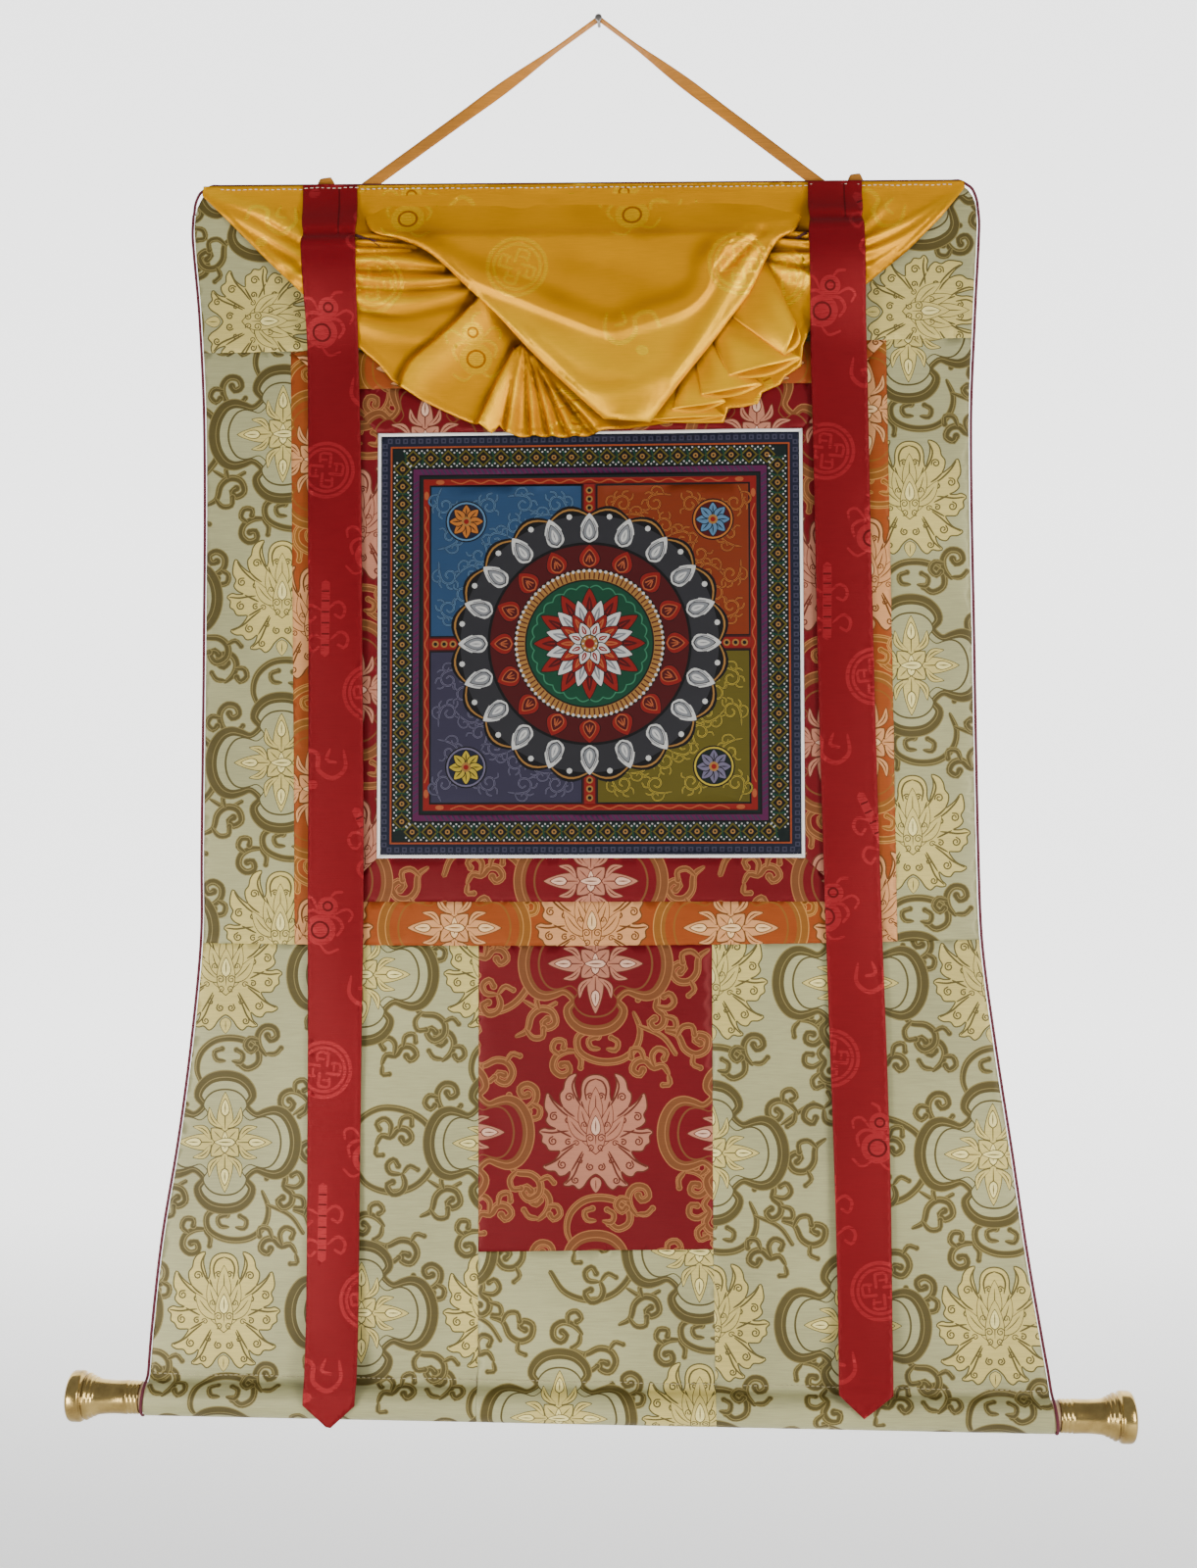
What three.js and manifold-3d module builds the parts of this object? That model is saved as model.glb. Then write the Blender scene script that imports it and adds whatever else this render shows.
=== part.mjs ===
// A thangka scroll painting on a wall nail: a square painted canvas sewn into silk brocade panels,
// a gathered yellow silk veil, two red ribbons, and a wooden dowel with brass knobs in the bottom hem.
// Millimetres. X runs to the right, Y into the wall and Z up, so the front faces -Y.
// Every piece is laid out from the middle of the painting, with the wall at Y = 0.
// The finished group is then moved so that its origin is the foot of the nail, on the wall.

import * as THREE from "three";
import { mergeVertices } from "three/addons/utils/BufferGeometryUtils.js";
import Module from "manifold-3d";

const wasm = await Module();
wasm.setup();

// Driving sizes
const NAIL = { x: 9.5, height: 573, length: 17, shankRadius: 1.5, headRadius: 3.2, headThickness: 1.6 };
const TOP_DEPTH = 9;
const BOTTOM_DEPTH = 24;
const TOP_EDGE = { height: 422, slope: 0.0115 };
const TOP_SEAM = { height: 273, slope: 0.0055 };
const WAIST_SEAM = { height: -273, slope: 0.005, curve: 0.000033 };
const CORNER_LIFT = 4;
const HEM_FOLD_HEIGHT = -661;
const CLOTH_THICKNESS = 2.4;
const CANVAS_THICKNESS = 1.6;
const SEAM_GAP = 0.3;
const DRAPE_CLEARANCE = 2;
const PAINTING = { left: -190, right: 190, top: 191, bottom: -191 };
const COTTON_PIPING_WIDTH = 3.2;
const EDGE_PIPING_RADIUS = 1.3;
const DOWEL = { radius: 13, height: -681.3, slope: -0.008, socketDepth: 18 };
const SLEEVE = { innerRadius: 13.6, wall: 2.2, filletRadius: 5 };
const RIBBON_THICKNESS = 1.4;
const VEIL_THICKNESS = 1.8;
const TAPE = { width: 11, thickness: 1.2 };

const COLOURS = {
  paleBrocade: 0xb9bea4,
  orangeBrocade: 0xb9602c,
  redBrocade: 0x9c1a2c,
  canvas: 0x47506e,
  cotton: 0xe6e2d8,
  crimson: 0x5e1230,
  ribbon: 0xa81f28,
  veil: 0xdb9a1e,
  tape: 0xc4882a,
  wood: 0x8a6238,
  brass: 0xb8892f,
  steel: 0x7d7a74,
};

// Outer edges of the hanging cloth, from the top corner down to the hem.
// The top edge slopes, so each side reads the table a little higher or lower.
const SIDE_EDGES = [
  { height: 422, left: -351, right: 339 },
  { height: 418.5, left: -359, right: 346.5 },
  { height: 411, left: -364, right: 351.5 },
  { height: 398, left: -367, right: 354.5 },
  { height: 378, left: -368, right: 355 },
  { height: 300, left: -361, right: 350.5 },
  { height: 200, left: -356, right: 346 },
  { height: 0, left: -354.5, right: 347 },
  { height: -200, left: -354.5, right: 348.5 },
  { height: -270, left: -354.5, right: 351 },
  { height: -360, left: -362.5, right: 362 },
  { height: -450, left: -374, right: 375 },
  { height: -540, left: -388.5, right: 387.5 },
  { height: -620, left: -397, right: 400.5 },
  { height: -660, left: -400, right: 407 },
  { height: -700, left: -403.5, right: 411 },
];

// Both edges of each ribbon down its length, and how far its middle stands off the wall
const LEFT_RIBBON = [
  { height: 421, left: -263, right: -213, depth: 13.3 },
  { height: 404, left: -262.5, right: -212, depth: 17 },
  { height: 385, left: -261.5, right: -211, depth: 26 },
  { height: 366, left: -261, right: -210.5, depth: 32.5 },
  { height: 345, left: -260, right: -210.5, depth: 34 },
  { height: 322, left: -259, right: -210.5, depth: 30.5 },
  { height: 296, left: -258, right: -210.5, depth: 23.5 },
  { height: 268, left: -257.5, right: -210.5, depth: 18.6 },
  { height: 180, left: -257, right: -208.5, depth: 17.6 },
  { height: -30, left: -255.5, right: -206, depth: 20.2 },
  { height: -220, left: -255, right: -204.5, depth: 22.4 },
  { height: -462, left: -254, right: -206.5, depth: 26.5 },
  { height: -600, left: -254, right: -207, depth: 30.5 },
  { height: -655, left: -254, right: -207, depth: 39 },
  { height: -672, left: -254.5, right: -208, depth: 42.5 },
  { height: -700, left: -255, right: -209, depth: 43.5 },
];
const RIGHT_RIBBON = [
  { height: 419, left: 199.5, right: 248, depth: 13.3 },
  { height: 402, left: 199, right: 248, depth: 17 },
  { height: 385, left: 198.5, right: 248.5, depth: 26 },
  { height: 366, left: 198.5, right: 248.5, depth: 32.5 },
  { height: 345, left: 199, right: 249, depth: 34 },
  { height: 322, left: 199.5, right: 249.5, depth: 30.5 },
  { height: 296, left: 200, right: 250, depth: 23.5 },
  { height: 268, left: 200.5, right: 251, depth: 18.6 },
  { height: 175, left: 202.5, right: 252.5, depth: 17.6 },
  { height: -30, left: 205.5, right: 255.5, depth: 20.2 },
  { height: -230, left: 210, right: 260, depth: 22.4 },
  { height: -462, left: 216.5, right: 266, depth: 26.5 },
  { height: -600, left: 219, right: 266.5, depth: 30.5 },
  { height: -655, left: 218.5, right: 266, depth: 39 },
  { height: -672, left: 218.5, right: 265.5, depth: 42.5 },
  { height: -700, left: 218.5, right: 265, depth: 43.5 },
];
const LEFT_RIBBON_TIP = { x: -231, tipHeight: -699, shoulderHeight: -678 };
const RIGHT_RIBBON_TIP = { x: 240, tipHeight: -684, shoulderHeight: -664 };

// Lower edge of the veil's back layer, from the left corner of the heading to the right corner
const VEIL_HEM = [
  { x: -357, height: 417 },
  { x: -326, height: 386 },
  { x: -294, height: 353 },
  { x: -262, height: 322 },
  { x: -236, height: 297 },
  { x: -211, height: 273 },
  { x: -192, height: 257 },
  { x: -170, height: 234 },
  { x: -151, height: 222 },
  { x: -113, height: 204 },
  { x: -98, height: 198 },
  { x: -88, height: 190 },
  { x: -63, height: 188 },
  { x: -18, height: 188 },
  { x: 17, height: 194 },
  { x: 53, height: 197 },
  { x: 100, height: 198 },
  { x: 123, height: 200 },
  { x: 127, height: 211 },
  { x: 153, height: 218 },
  { x: 162, height: 231 },
  { x: 176, height: 236 },
  { x: 190, height: 250 },
  { x: 200, height: 284 },
  { x: 225, height: 302 },
  { x: 248, height: 320 },
  { x: 288, height: 353 },
  { x: 319, height: 384 },
  { x: 341, height: 412 },
];

// Left and right edges of the veil's front swag, from the heading down to its short hem
const SWAG_EDGES = [
  { along: 0, leftX: -206, leftHeight: 419, rightX: 194, rightHeight: 417 },
  { along: 0.12, leftX: -206, leftHeight: 396, rightX: 194, rightHeight: 391 },
  { along: 0.2, leftX: -197, leftHeight: 378, rightX: 188, rightHeight: 374 },
  { along: 0.3, leftX: -172, leftHeight: 369, rightX: 171, rightHeight: 362 },
  { along: 0.4, leftX: -145, leftHeight: 356, rightX: 157, rightHeight: 338 },
  { along: 0.52, leftX: -114, leftHeight: 328, rightX: 145, rightHeight: 314 },
  { along: 0.64, leftX: -84, leftHeight: 299, rightX: 128, rightHeight: 291 },
  { along: 0.76, leftX: -55, leftHeight: 267, rightX: 111, rightHeight: 268 },
  { along: 0.88, leftX: -20, leftHeight: 232, rightX: 87, rightHeight: 238 },
  { along: 1, leftX: 14, leftHeight: 201, rightX: 56, rightHeight: 197 },
];

// Folds of the veil's back layer: each runs from one point to another and stands forward by its height
const VEIL_FOLDS = [
  { fromX: -345, fromZ: 414, toX: -262, toZ: 372, height: 3.5, width: 9 },
  { fromX: -330, fromZ: 396, toX: -262, toZ: 345, height: 2.5, width: 10 },
  { fromX: -255, fromZ: 362, toX: -190, toZ: 364, height: 3, width: 7 },
  { fromX: -210, fromZ: 346, toX: -140, toZ: 340, height: 3, width: 8 },
  { fromX: -208, fromZ: 318, toX: -112, toZ: 322, height: 3.5, width: 12 },
  { fromX: -112, fromZ: 306, toX: -166, toZ: 250, height: 5, width: 9 },
  { fromX: -98, fromZ: 300, toX: -118, toZ: 212, height: 3.5, width: 14 },
  { fromX: -62, fromZ: 262, toX: -95, toZ: 199, height: 7, width: 7 },
  { fromX: -58, fromZ: 262, toX: -67, toZ: 190, height: 5, width: 6 },
  { fromX: -52, fromZ: 258, toX: -44, toZ: 190, height: 4.5, width: 5 },
  { fromX: -44, fromZ: 254, toX: -22, toZ: 190, height: 4.5, width: 5 },
  { fromX: -30, fromZ: 244, toX: 8, toZ: 196, height: 4, width: 6 },
  { fromX: 150, fromZ: 345, toX: 197, toZ: 300, height: 4, width: 12 },
  { fromX: 138, fromZ: 305, toX: 186, toZ: 258, height: 7, width: 10 },
  { fromX: 128, fromZ: 285, toX: 168, toZ: 238, height: 6, width: 7 },
  { fromX: 112, fromZ: 262, toX: 146, toZ: 222, height: 6, width: 6 },
  { fromX: 96, fromZ: 240, toX: 118, toZ: 206, height: 5, width: 6 },
  { fromX: 335, fromZ: 408, toX: 250, toZ: 360, height: 3.5, width: 8 },
  { fromX: 328, fromZ: 398, toX: 250, toZ: 342, height: 3, width: 8 },
];

// Places where the veil is bunched and tied up behind a ribbon
const VEIL_NECKS = [
  { x: -236, height: 346, depth: 12, halfWidth: 46, halfHeight: 42 },
  { x: 224, height: 346, depth: 12, halfWidth: 46, halfHeight: 42 },
];

// Turned profile of a knob, from the cloth outwards
const KNOB_PROFILE = [
  { along: 0, radius: 13.9 },
  { along: 0.8, radius: 14.5 },
  { along: 2.6, radius: 14.5 },
  { along: 3.4, radius: 13.8 },
  { along: 4.4, radius: 14.5 },
  { along: 6.2, radius: 14.5 },
  { along: 7, radius: 13.8 },
  { along: 8, radius: 14.6 },
  { along: 9.8, radius: 14.6 },
  { along: 10.8, radius: 13.9 },
  { along: 12, radius: 14.8 },
  { along: 22, radius: 14.5 },
  { along: 32, radius: 14.9 },
  { along: 39, radius: 15.9 },
  { along: 41, radius: 17.2 },
  { along: 42.5, radius: 16.8 },
  { along: 44, radius: 18.6 },
  { along: 45.5, radius: 18.2 },
  { along: 47.5, radius: 20.4 },
  { along: 49.3, radius: 20.2 },
  { along: 51, radius: 19.2 },
  { along: 52.6, radius: 21.6 },
  { along: 55, radius: 22.5 },
  { along: 60, radius: 22.5 },
  { along: 63.4, radius: 21.4 },
  { along: 65.2, radius: 17.5 },
  { along: 66.2, radius: 10 },
  { along: 66.5, radius: 0 },
];

// Value of a table column at a key, on smooth curves through its rows
function tableValue(table, keyName, key, column) {
  const rising = table[table.length - 1][keyName] > table[0][keyName];
  const passed = (row) => (rising ? row[keyName] <= key : row[keyName] >= key);
  let index = 0;
  while (index < table.length - 2 && passed(table[index + 1])) {
    index += 1;
  }
  const first = table[index];
  const second = table[index + 1];
  const share = THREE.MathUtils.clamp((key - first[keyName]) / (second[keyName] - first[keyName]), 0, 1);
  const span = second[keyName] - first[keyName];
  const slopeAt = (middle) => {
    const before = table[Math.max(middle - 1, 0)];
    const after = table[Math.min(middle + 1, table.length - 1)];
    return (after[column] - before[column]) / (after[keyName] - before[keyName]);
  };
  const square = share * share;
  const cube = square * share;
  return (
    (2 * cube - 3 * square + 1) * first[column] +
    (cube - 2 * square + share) * span * slopeAt(index) +
    (3 * square - 2 * cube) * second[column] +
    (cube - square) * span * slopeAt(index + 1)
  );
}

// Value of a table column at a key, on straight lines between its rows
function straightValue(table, keyName, key, column) {
  let index = 0;
  while (index < table.length - 2 && table[index + 1][keyName] <= key) {
    index += 1;
  }
  const first = table[index];
  const second = table[index + 1];
  const share = THREE.MathUtils.clamp((key - first[keyName]) / (second[keyName] - first[keyName]), 0, 1);
  return THREE.MathUtils.lerp(first[column], second[column], share);
}

const dowelHeight = (x) => DOWEL.height + DOWEL.slope * x;
const topEdge = (x) => TOP_EDGE.height - TOP_EDGE.slope * x;
const topSeam = (x) => TOP_SEAM.height + TOP_SEAM.slope * x;
const waistSeam = (x) => WAIST_SEAM.height + WAIST_SEAM.slope * x + WAIST_SEAM.curve * x * x;
const leftEdge = (z) => tableValue(SIDE_EDGES, "height", z - CORNER_LIFT, "left");
const rightEdge = (z) => tableValue(SIDE_EDGES, "height", z + CORNER_LIFT, "right");

// Depth of the middle of the hanging cloth: it leans out towards the hem and waves a little
const CLOTH_WAVES = [
  { height: 1.3, lengthAcross: 330, lengthDown: 900, phase: 0.1 },
  { height: 0.7, lengthAcross: 190, lengthDown: -650, phase: 0.35 },
];
function clothDepth(x, z) {
  const down = THREE.MathUtils.clamp((TOP_EDGE.height - z) / (TOP_EDGE.height - HEM_FOLD_HEIGHT), 0, 1);
  let wave = 0;
  for (const { height, lengthAcross, lengthDown, phase } of CLOTH_WAVES) {
    wave += height * Math.sin(2 * Math.PI * (x / lengthAcross + z / lengthDown + phase));
  }
  return wave * Math.sin(Math.PI * down) - THREE.MathUtils.lerp(TOP_DEPTH, BOTTOM_DEPTH, down);
}

// Closed solid between a front grid and a back grid of points, with the rim between them
function gridSolid(columns, rows, frontPoint, backPoint) {
  const positions = [];
  const faces = [];
  const side = (columns + 1) * (rows + 1);
  for (const point of [frontPoint, backPoint]) {
    for (let row = 0; row <= rows; row += 1) {
      for (let column = 0; column <= columns; column += 1) {
        positions.push(...point(column / columns, row / rows));
      }
    }
  }
  const front = (column, row) => row * (columns + 1) + column;
  const back = (column, row) => side + front(column, row);
  const quad = (a, b, c, d) => faces.push(a, b, c, a, c, d);
  for (let row = 0; row < rows; row += 1) {
    for (let column = 0; column < columns; column += 1) {
      quad(front(column, row), front(column, row + 1), front(column + 1, row + 1), front(column + 1, row));
      quad(back(column, row), back(column + 1, row), back(column + 1, row + 1), back(column, row + 1));
    }
    quad(front(0, row), back(0, row), back(0, row + 1), front(0, row + 1));
    quad(front(columns, row), front(columns, row + 1), back(columns, row + 1), back(columns, row));
  }
  for (let column = 0; column < columns; column += 1) {
    quad(front(column, 0), front(column + 1, 0), back(column + 1, 0), back(column, 0));
    quad(front(column, rows), back(column, rows), back(column + 1, rows), front(column + 1, rows));
  }
  const geometry = new THREE.BufferGeometry();
  geometry.setAttribute("position", new THREE.Float32BufferAttribute(positions, 3));
  geometry.setIndex(faces);
  return geometry;
}

// Sheet of one thickness on a grid of middle points, thickened straight through in Y
function sheetSolid(columns, rows, middlePoint, thickness) {
  const offset = (shift) => (across, down) => {
    const [x, y, z] = middlePoint(across, down);
    return [x, y + shift, z];
  };
  return gridSolid(columns, rows, offset(-thickness / 2), offset(thickness / 2));
}

// Point of a panel whose side edges are functions of height and whose ends are functions of X
function panelPoint(outline, across, down) {
  let z = outline.top(0);
  let x = 0;
  for (let pass = 0; pass < 6; pass += 1) {
    x = THREE.MathUtils.lerp(outline.left(z), outline.right(z), across);
    z = THREE.MathUtils.lerp(outline.top(x), outline.bottom(x), down);
  }
  return [x, z];
}

// Flat panel on the hanging cloth's curve; a crowding above 1 brings its rows closer together at the top
function flatPanel(outline, columns, rows, thickness = CLOTH_THICKNESS, crowding = 1) {
  const inset = SEAM_GAP / 2;
  const trimmed = {
    left: (z) => outline.left(z) + inset,
    right: (z) => outline.right(z) - inset,
    top: (x) => outline.top(x) - inset,
    bottom: (x) => outline.bottom(x) + inset,
  };
  const middle = (across, down) => {
    const [x, z] = panelPoint(trimmed, across, down ** crowding);
    return [x, clothDepth(x, z), z];
  };
  return sheetSolid(columns, rows, middle, thickness);
}

// Straight line through two points, as X from height or as height from X
const lineX = (x1, z1, x2, z2) => (z) => x1 + ((z - z1) * (x2 - x1)) / (z2 - z1);
const lineZ = (x1, z1, x2, z2) => (x) => z1 + ((x - x1) * (z2 - z1)) / (x2 - x1);

// Strap of one width and thickness that follows stations with a centre, a width and a running direction
function strapSolid(stations, thickness) {
  const rows = stations.length - 1;
  const face = (shift) => (across, down) => {
    const station = stations[Math.round(down * rows)];
    const normal = new THREE.Vector3().crossVectors(station.across, station.along).normalize();
    const point = station.centre.clone().addScaledVector(station.across, (across - 0.5) * station.width);
    point.addScaledVector(normal, shift);
    return [point.x, point.y, point.z];
  };
  return gridSolid(1, rows, face(-thickness / 2), face(thickness / 2));
}

function stationsAlong(points, acrossAt, width) {
  return points.map((centre, index) => {
    const before = points[Math.max(index - 1, 0)];
    const after = points[Math.min(index + 1, points.length - 1)];
    const along = after.clone().sub(before).normalize();
    const across = acrossAt(index / (points.length - 1), along);
    return { centre, across, along, width };
  });
}

// Curve that is sampled at its own points, so that close points can follow a tight corner
class StationCurve extends THREE.CatmullRomCurve3 {
  getPointAt(share, target) {
    return this.getPoint(share, target);
  }

  getTangentAt(share, target) {
    return this.getTangent(share, target);
  }
}

function roundCordSolid(points, radius, sides) {
  const section = new THREE.Shape();
  for (let side = 0; side < sides; side += 1) {
    const angle = (2 * Math.PI * side) / sides;
    const place = [radius * Math.cos(angle), radius * Math.sin(angle)];
    if (side === 0) {
      section.moveTo(...place);
    } else {
      section.lineTo(...place);
    }
  }
  section.closePath();
  const extrudePath = new StationCurve(points);
  return new THREE.ExtrudeGeometry(section, { steps: points.length - 1, bevelEnabled: false, extrudePath });
}

// One body from several overlapping sheets
function joinedSolid(geometries) {
  const solids = geometries.map((geometry) => {
    const bare = geometry.clone();
    bare.deleteAttribute("normal");
    bare.deleteAttribute("uv");
    const merged = mergeVertices(bare, 1e-4);
    return new wasm.Manifold(
      new wasm.Mesh({
        numProp: 3,
        vertProperties: new Float32Array(merged.attributes.position.array),
        triVerts: new Uint32Array(merged.index.array),
      }),
    );
  });
  const whole = solids.reduce((sum, solid) => sum.add(solid)).getMesh();
  const geometry = new THREE.BufferGeometry();
  geometry.setAttribute("position", new THREE.BufferAttribute(new Float32Array(whole.vertProperties), 3));
  geometry.setIndex(new THREE.BufferAttribute(new Uint32Array(whole.triVerts), 1));
  return geometry;
}

const scroll = new THREE.Group();

function addPiece(name, geometry, color, roughness, metalness = 0) {
  geometry.computeVertexNormals();
  const mesh = new THREE.Mesh(geometry, new THREE.MeshStandardMaterial({ color, roughness, metalness }));
  mesh.name = name;
  scroll.add(mesh);
  return mesh;
}

// Nail in the wall, with its flat foot at Y = 0
function addNail() {
  const profile = [
    new THREE.Vector2(0, 0),
    new THREE.Vector2(NAIL.shankRadius, 0),
    new THREE.Vector2(NAIL.shankRadius, NAIL.length),
    new THREE.Vector2(NAIL.headRadius, NAIL.length),
    new THREE.Vector2(NAIL.headRadius, NAIL.length + NAIL.headThickness),
    new THREE.Vector2(0, NAIL.length + NAIL.headThickness),
  ];
  const nail = addPiece("nail", new THREE.LatheGeometry(profile, 16), COLOURS.steel, 0.45, 0.9);
  nail.rotation.x = Math.PI;
  nail.position.set(NAIL.x, 0, NAIL.height);
}

// Flat tape from the back of the cloth's top edge, over the nail and down again; it lies edge on at the nail
const TAPE_BEND = { halfWidth: 2.6, drop: 1.6 };
const TAPE_FOOT = { leftX: -222, rightX: 226, hidden: 12, depth: 6.8 };
function addHangingTape() {
  const top = new THREE.Vector3(
    NAIL.x,
    -0.5 * NAIL.length - 1,
    NAIL.height + NAIL.shankRadius + SEAM_GAP + TAPE.thickness / 2,
  );
  const foot = (x) => new THREE.Vector3(x, -TAPE_FOOT.depth, topEdge(x) - TAPE_FOOT.hidden);
  const shoulder = (side) => {
    return new THREE.Vector3(top.x + side * TAPE_BEND.halfWidth, top.y, top.z - TAPE_BEND.drop);
  };
  const legSteps = 14;
  const leg = (x, side) => {
    const points = [];
    for (let step = 0; step <= legSteps; step += 1) {
      const share = 1 - (1 - step / legSteps) ** 1.5;
      points.push(foot(x).lerp(shoulder(side), share));
    }
    return points;
  };
  const points = [...leg(TAPE_FOOT.leftX, -1), top, ...leg(TAPE_FOOT.rightX, 1).reverse()];
  const inward = new THREE.Vector3(0, -1, 0);
  const acrossAt = (share, along) => {
    const fromNail = Math.abs(share - 0.5) * 2;
    const turned = THREE.MathUtils.smoothstep(fromNail, 0.12, 0.55) * (Math.PI / 2);
    const inPlane = new THREE.Vector3(0, -1, 0).cross(along).normalize();
    return inward.clone().multiplyScalar(Math.cos(turned)).addScaledVector(inPlane, Math.sin(turned));
  };
  const stations = stationsAlong(points, acrossAt, TAPE.width);
  addPiece("hanging_tape", strapSolid(stations, TAPE.thickness), COLOURS.tape, 0.7);
}

// Small folded end of the tape that stands up behind the top edge, beside each foot
const TAPE_FOLD_DEPTH = 4.6;
function addTapeFolds() {
  const folds = [
    { name: "tape_fold_left", x: -243, halfWidth: 9, rise: 9 },
    { name: "tape_fold_right", x: 243, halfWidth: 8, rise: 9 },
  ];
  for (const fold of folds) {
    const points = [];
    const steps = 10;
    for (let step = 0; step <= steps; step += 1) {
      const angle = Math.PI * (1 - step / steps);
      const x = fold.x + fold.halfWidth * Math.cos(angle);
      const z = topEdge(fold.x) - 5 + (fold.rise + 5) * Math.sin(angle);
      points.push(new THREE.Vector3(x, -TAPE_FOLD_DEPTH, z));
    }
    const across = () => new THREE.Vector3(0, -1, 0);
    addPiece(fold.name, strapSolid(stationsAlong(points, across, 5.6), 1.6), COLOURS.tape, 0.7);
  }
}

// Brocade panels above the waist, the two mitred borders, the cotton piping and the painting
const ORANGE_CORNERS = { topLeft: -274.4, topRight: 269.3, bottomLeft: -268, bottomRight: 274.7 };
const RED_FRAME = { left: -233.5, right: 233.5, top: 235.5, bottom: -233.5 };
const HEADING_OVERLAP = 0.8;
const CORNER_CUT = 3;
const CORNER_FOOT = 400;
const EDGE_INSET = 2 * EDGE_PIPING_RADIUS + 2.5 * SEAM_GAP;
const clothLeft = (z) => leftEdge(z) + EDGE_INSET;
const clothRight = (z) => rightEdge(z) - EDGE_INSET;

// Outline of the orange border, whose seams lean and sag with the cloth
function orangeOutline() {
  const outline = {
    topLeft: [ORANGE_CORNERS.topLeft, topSeam(ORANGE_CORNERS.topLeft)],
    topRight: [ORANGE_CORNERS.topRight, topSeam(ORANGE_CORNERS.topRight)],
    bottomLeft: [ORANGE_CORNERS.bottomLeft, waistSeam(ORANGE_CORNERS.bottomLeft)],
    bottomRight: [ORANGE_CORNERS.bottomRight, waistSeam(ORANGE_CORNERS.bottomRight)],
    top: topSeam,
    bottom: waistSeam,
  };
  outline.left = lineX(...outline.topLeft, ...outline.bottomLeft);
  outline.right = lineX(...outline.topRight, ...outline.bottomRight);
  return outline;
}

// Outline with level ends and upright sides
function squareOutline({ left, right, top, bottom }) {
  return {
    topLeft: [left, top],
    topRight: [right, top],
    bottomLeft: [left, bottom],
    bottomRight: [right, bottom],
    left: () => left,
    right: () => right,
    top: () => top,
    bottom: () => bottom,
  };
}

function addUpperPanels() {
  const orange = orangeOutline();
  const pale = COLOURS.paleBrocade;
  const cornerCut = (z) => CORNER_CUT * THREE.MathUtils.smoothstep(z, CORNER_FOOT, TOP_EDGE.height);
  const top = {
    left: (z) => clothLeft(z) + cornerCut(z),
    right: (z) => clothRight(z) - cornerCut(z + CORNER_LIFT),
    top: (x) => topEdge(x) - HEADING_OVERLAP,
    bottom: topSeam,
  };
  addPiece("top_panel", flatPanel(top, 16, 9, CLOTH_THICKNESS, 2), pale, 0.7);
  const left = { left: clothLeft, right: orange.left, top: topSeam, bottom: waistSeam };
  addPiece("left_strip", flatPanel(left, 2, 18), pale, 0.7);
  const right = { left: orange.right, right: clothRight, top: topSeam, bottom: waistSeam };
  addPiece("right_strip", flatPanel(right, 2, 18), pale, 0.7);
}

// Four strips of a mitred frame between an outer and an inner outline
function addMitredFrame(prefix, outer, inner, color, steps) {
  const mitre = (corner) => [...outer[corner], ...inner[corner]];
  const strips = {
    top: {
      left: lineX(...mitre("topLeft")),
      right: lineX(...mitre("topRight")),
      top: outer.top,
      bottom: inner.top,
    },
    bottom: {
      left: lineX(...mitre("bottomLeft")),
      right: lineX(...mitre("bottomRight")),
      top: inner.bottom,
      bottom: outer.bottom,
    },
    left: {
      left: outer.left,
      right: inner.left,
      top: lineZ(...mitre("topLeft")),
      bottom: lineZ(...mitre("bottomLeft")),
    },
    right: {
      left: inner.right,
      right: outer.right,
      top: lineZ(...mitre("topRight")),
      bottom: lineZ(...mitre("bottomRight")),
    },
  };
  for (const [place, outline] of Object.entries(strips)) {
    const upright = place === "left" || place === "right";
    const geometry = flatPanel(outline, upright ? 2 : steps, upright ? steps : 2);
    addPiece(`${prefix}_${place}`, geometry, color, 0.68);
  }
}

function addBordersAndPainting() {
  const redFrame = squareOutline(RED_FRAME);
  const painting = squareOutline(PAINTING);
  const piping = squareOutline({
    left: PAINTING.left - COTTON_PIPING_WIDTH,
    right: PAINTING.right + COTTON_PIPING_WIDTH,
    top: PAINTING.top + COTTON_PIPING_WIDTH,
    bottom: PAINTING.bottom - COTTON_PIPING_WIDTH,
  });
  addMitredFrame("orange_border", orangeOutline(), redFrame, COLOURS.orangeBrocade, 14);
  addMitredFrame("red_border", redFrame, piping, COLOURS.redBrocade, 12);
  addMitredFrame("cotton_piping", piping, painting, COLOURS.cotton, 10);
  addPiece("painting", flatPanel(painting, 8, 8, CANVAS_THICKNESS), COLOURS.canvas, 0.8);
}

// Lower panels: each hangs from the waist or the door and wraps the dowel as a sewn sleeve
function sleeveArc(radius, fromAngle, toAngle, steps) {
  const arc = [];
  for (let step = 0; step <= steps; step += 1) {
    const angle = THREE.MathUtils.lerp(fromAngle, toAngle, step / steps);
    arc.push({ out: radius * Math.cos(angle), up: radius * Math.sin(angle) });
  }
  return arc;
}

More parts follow.
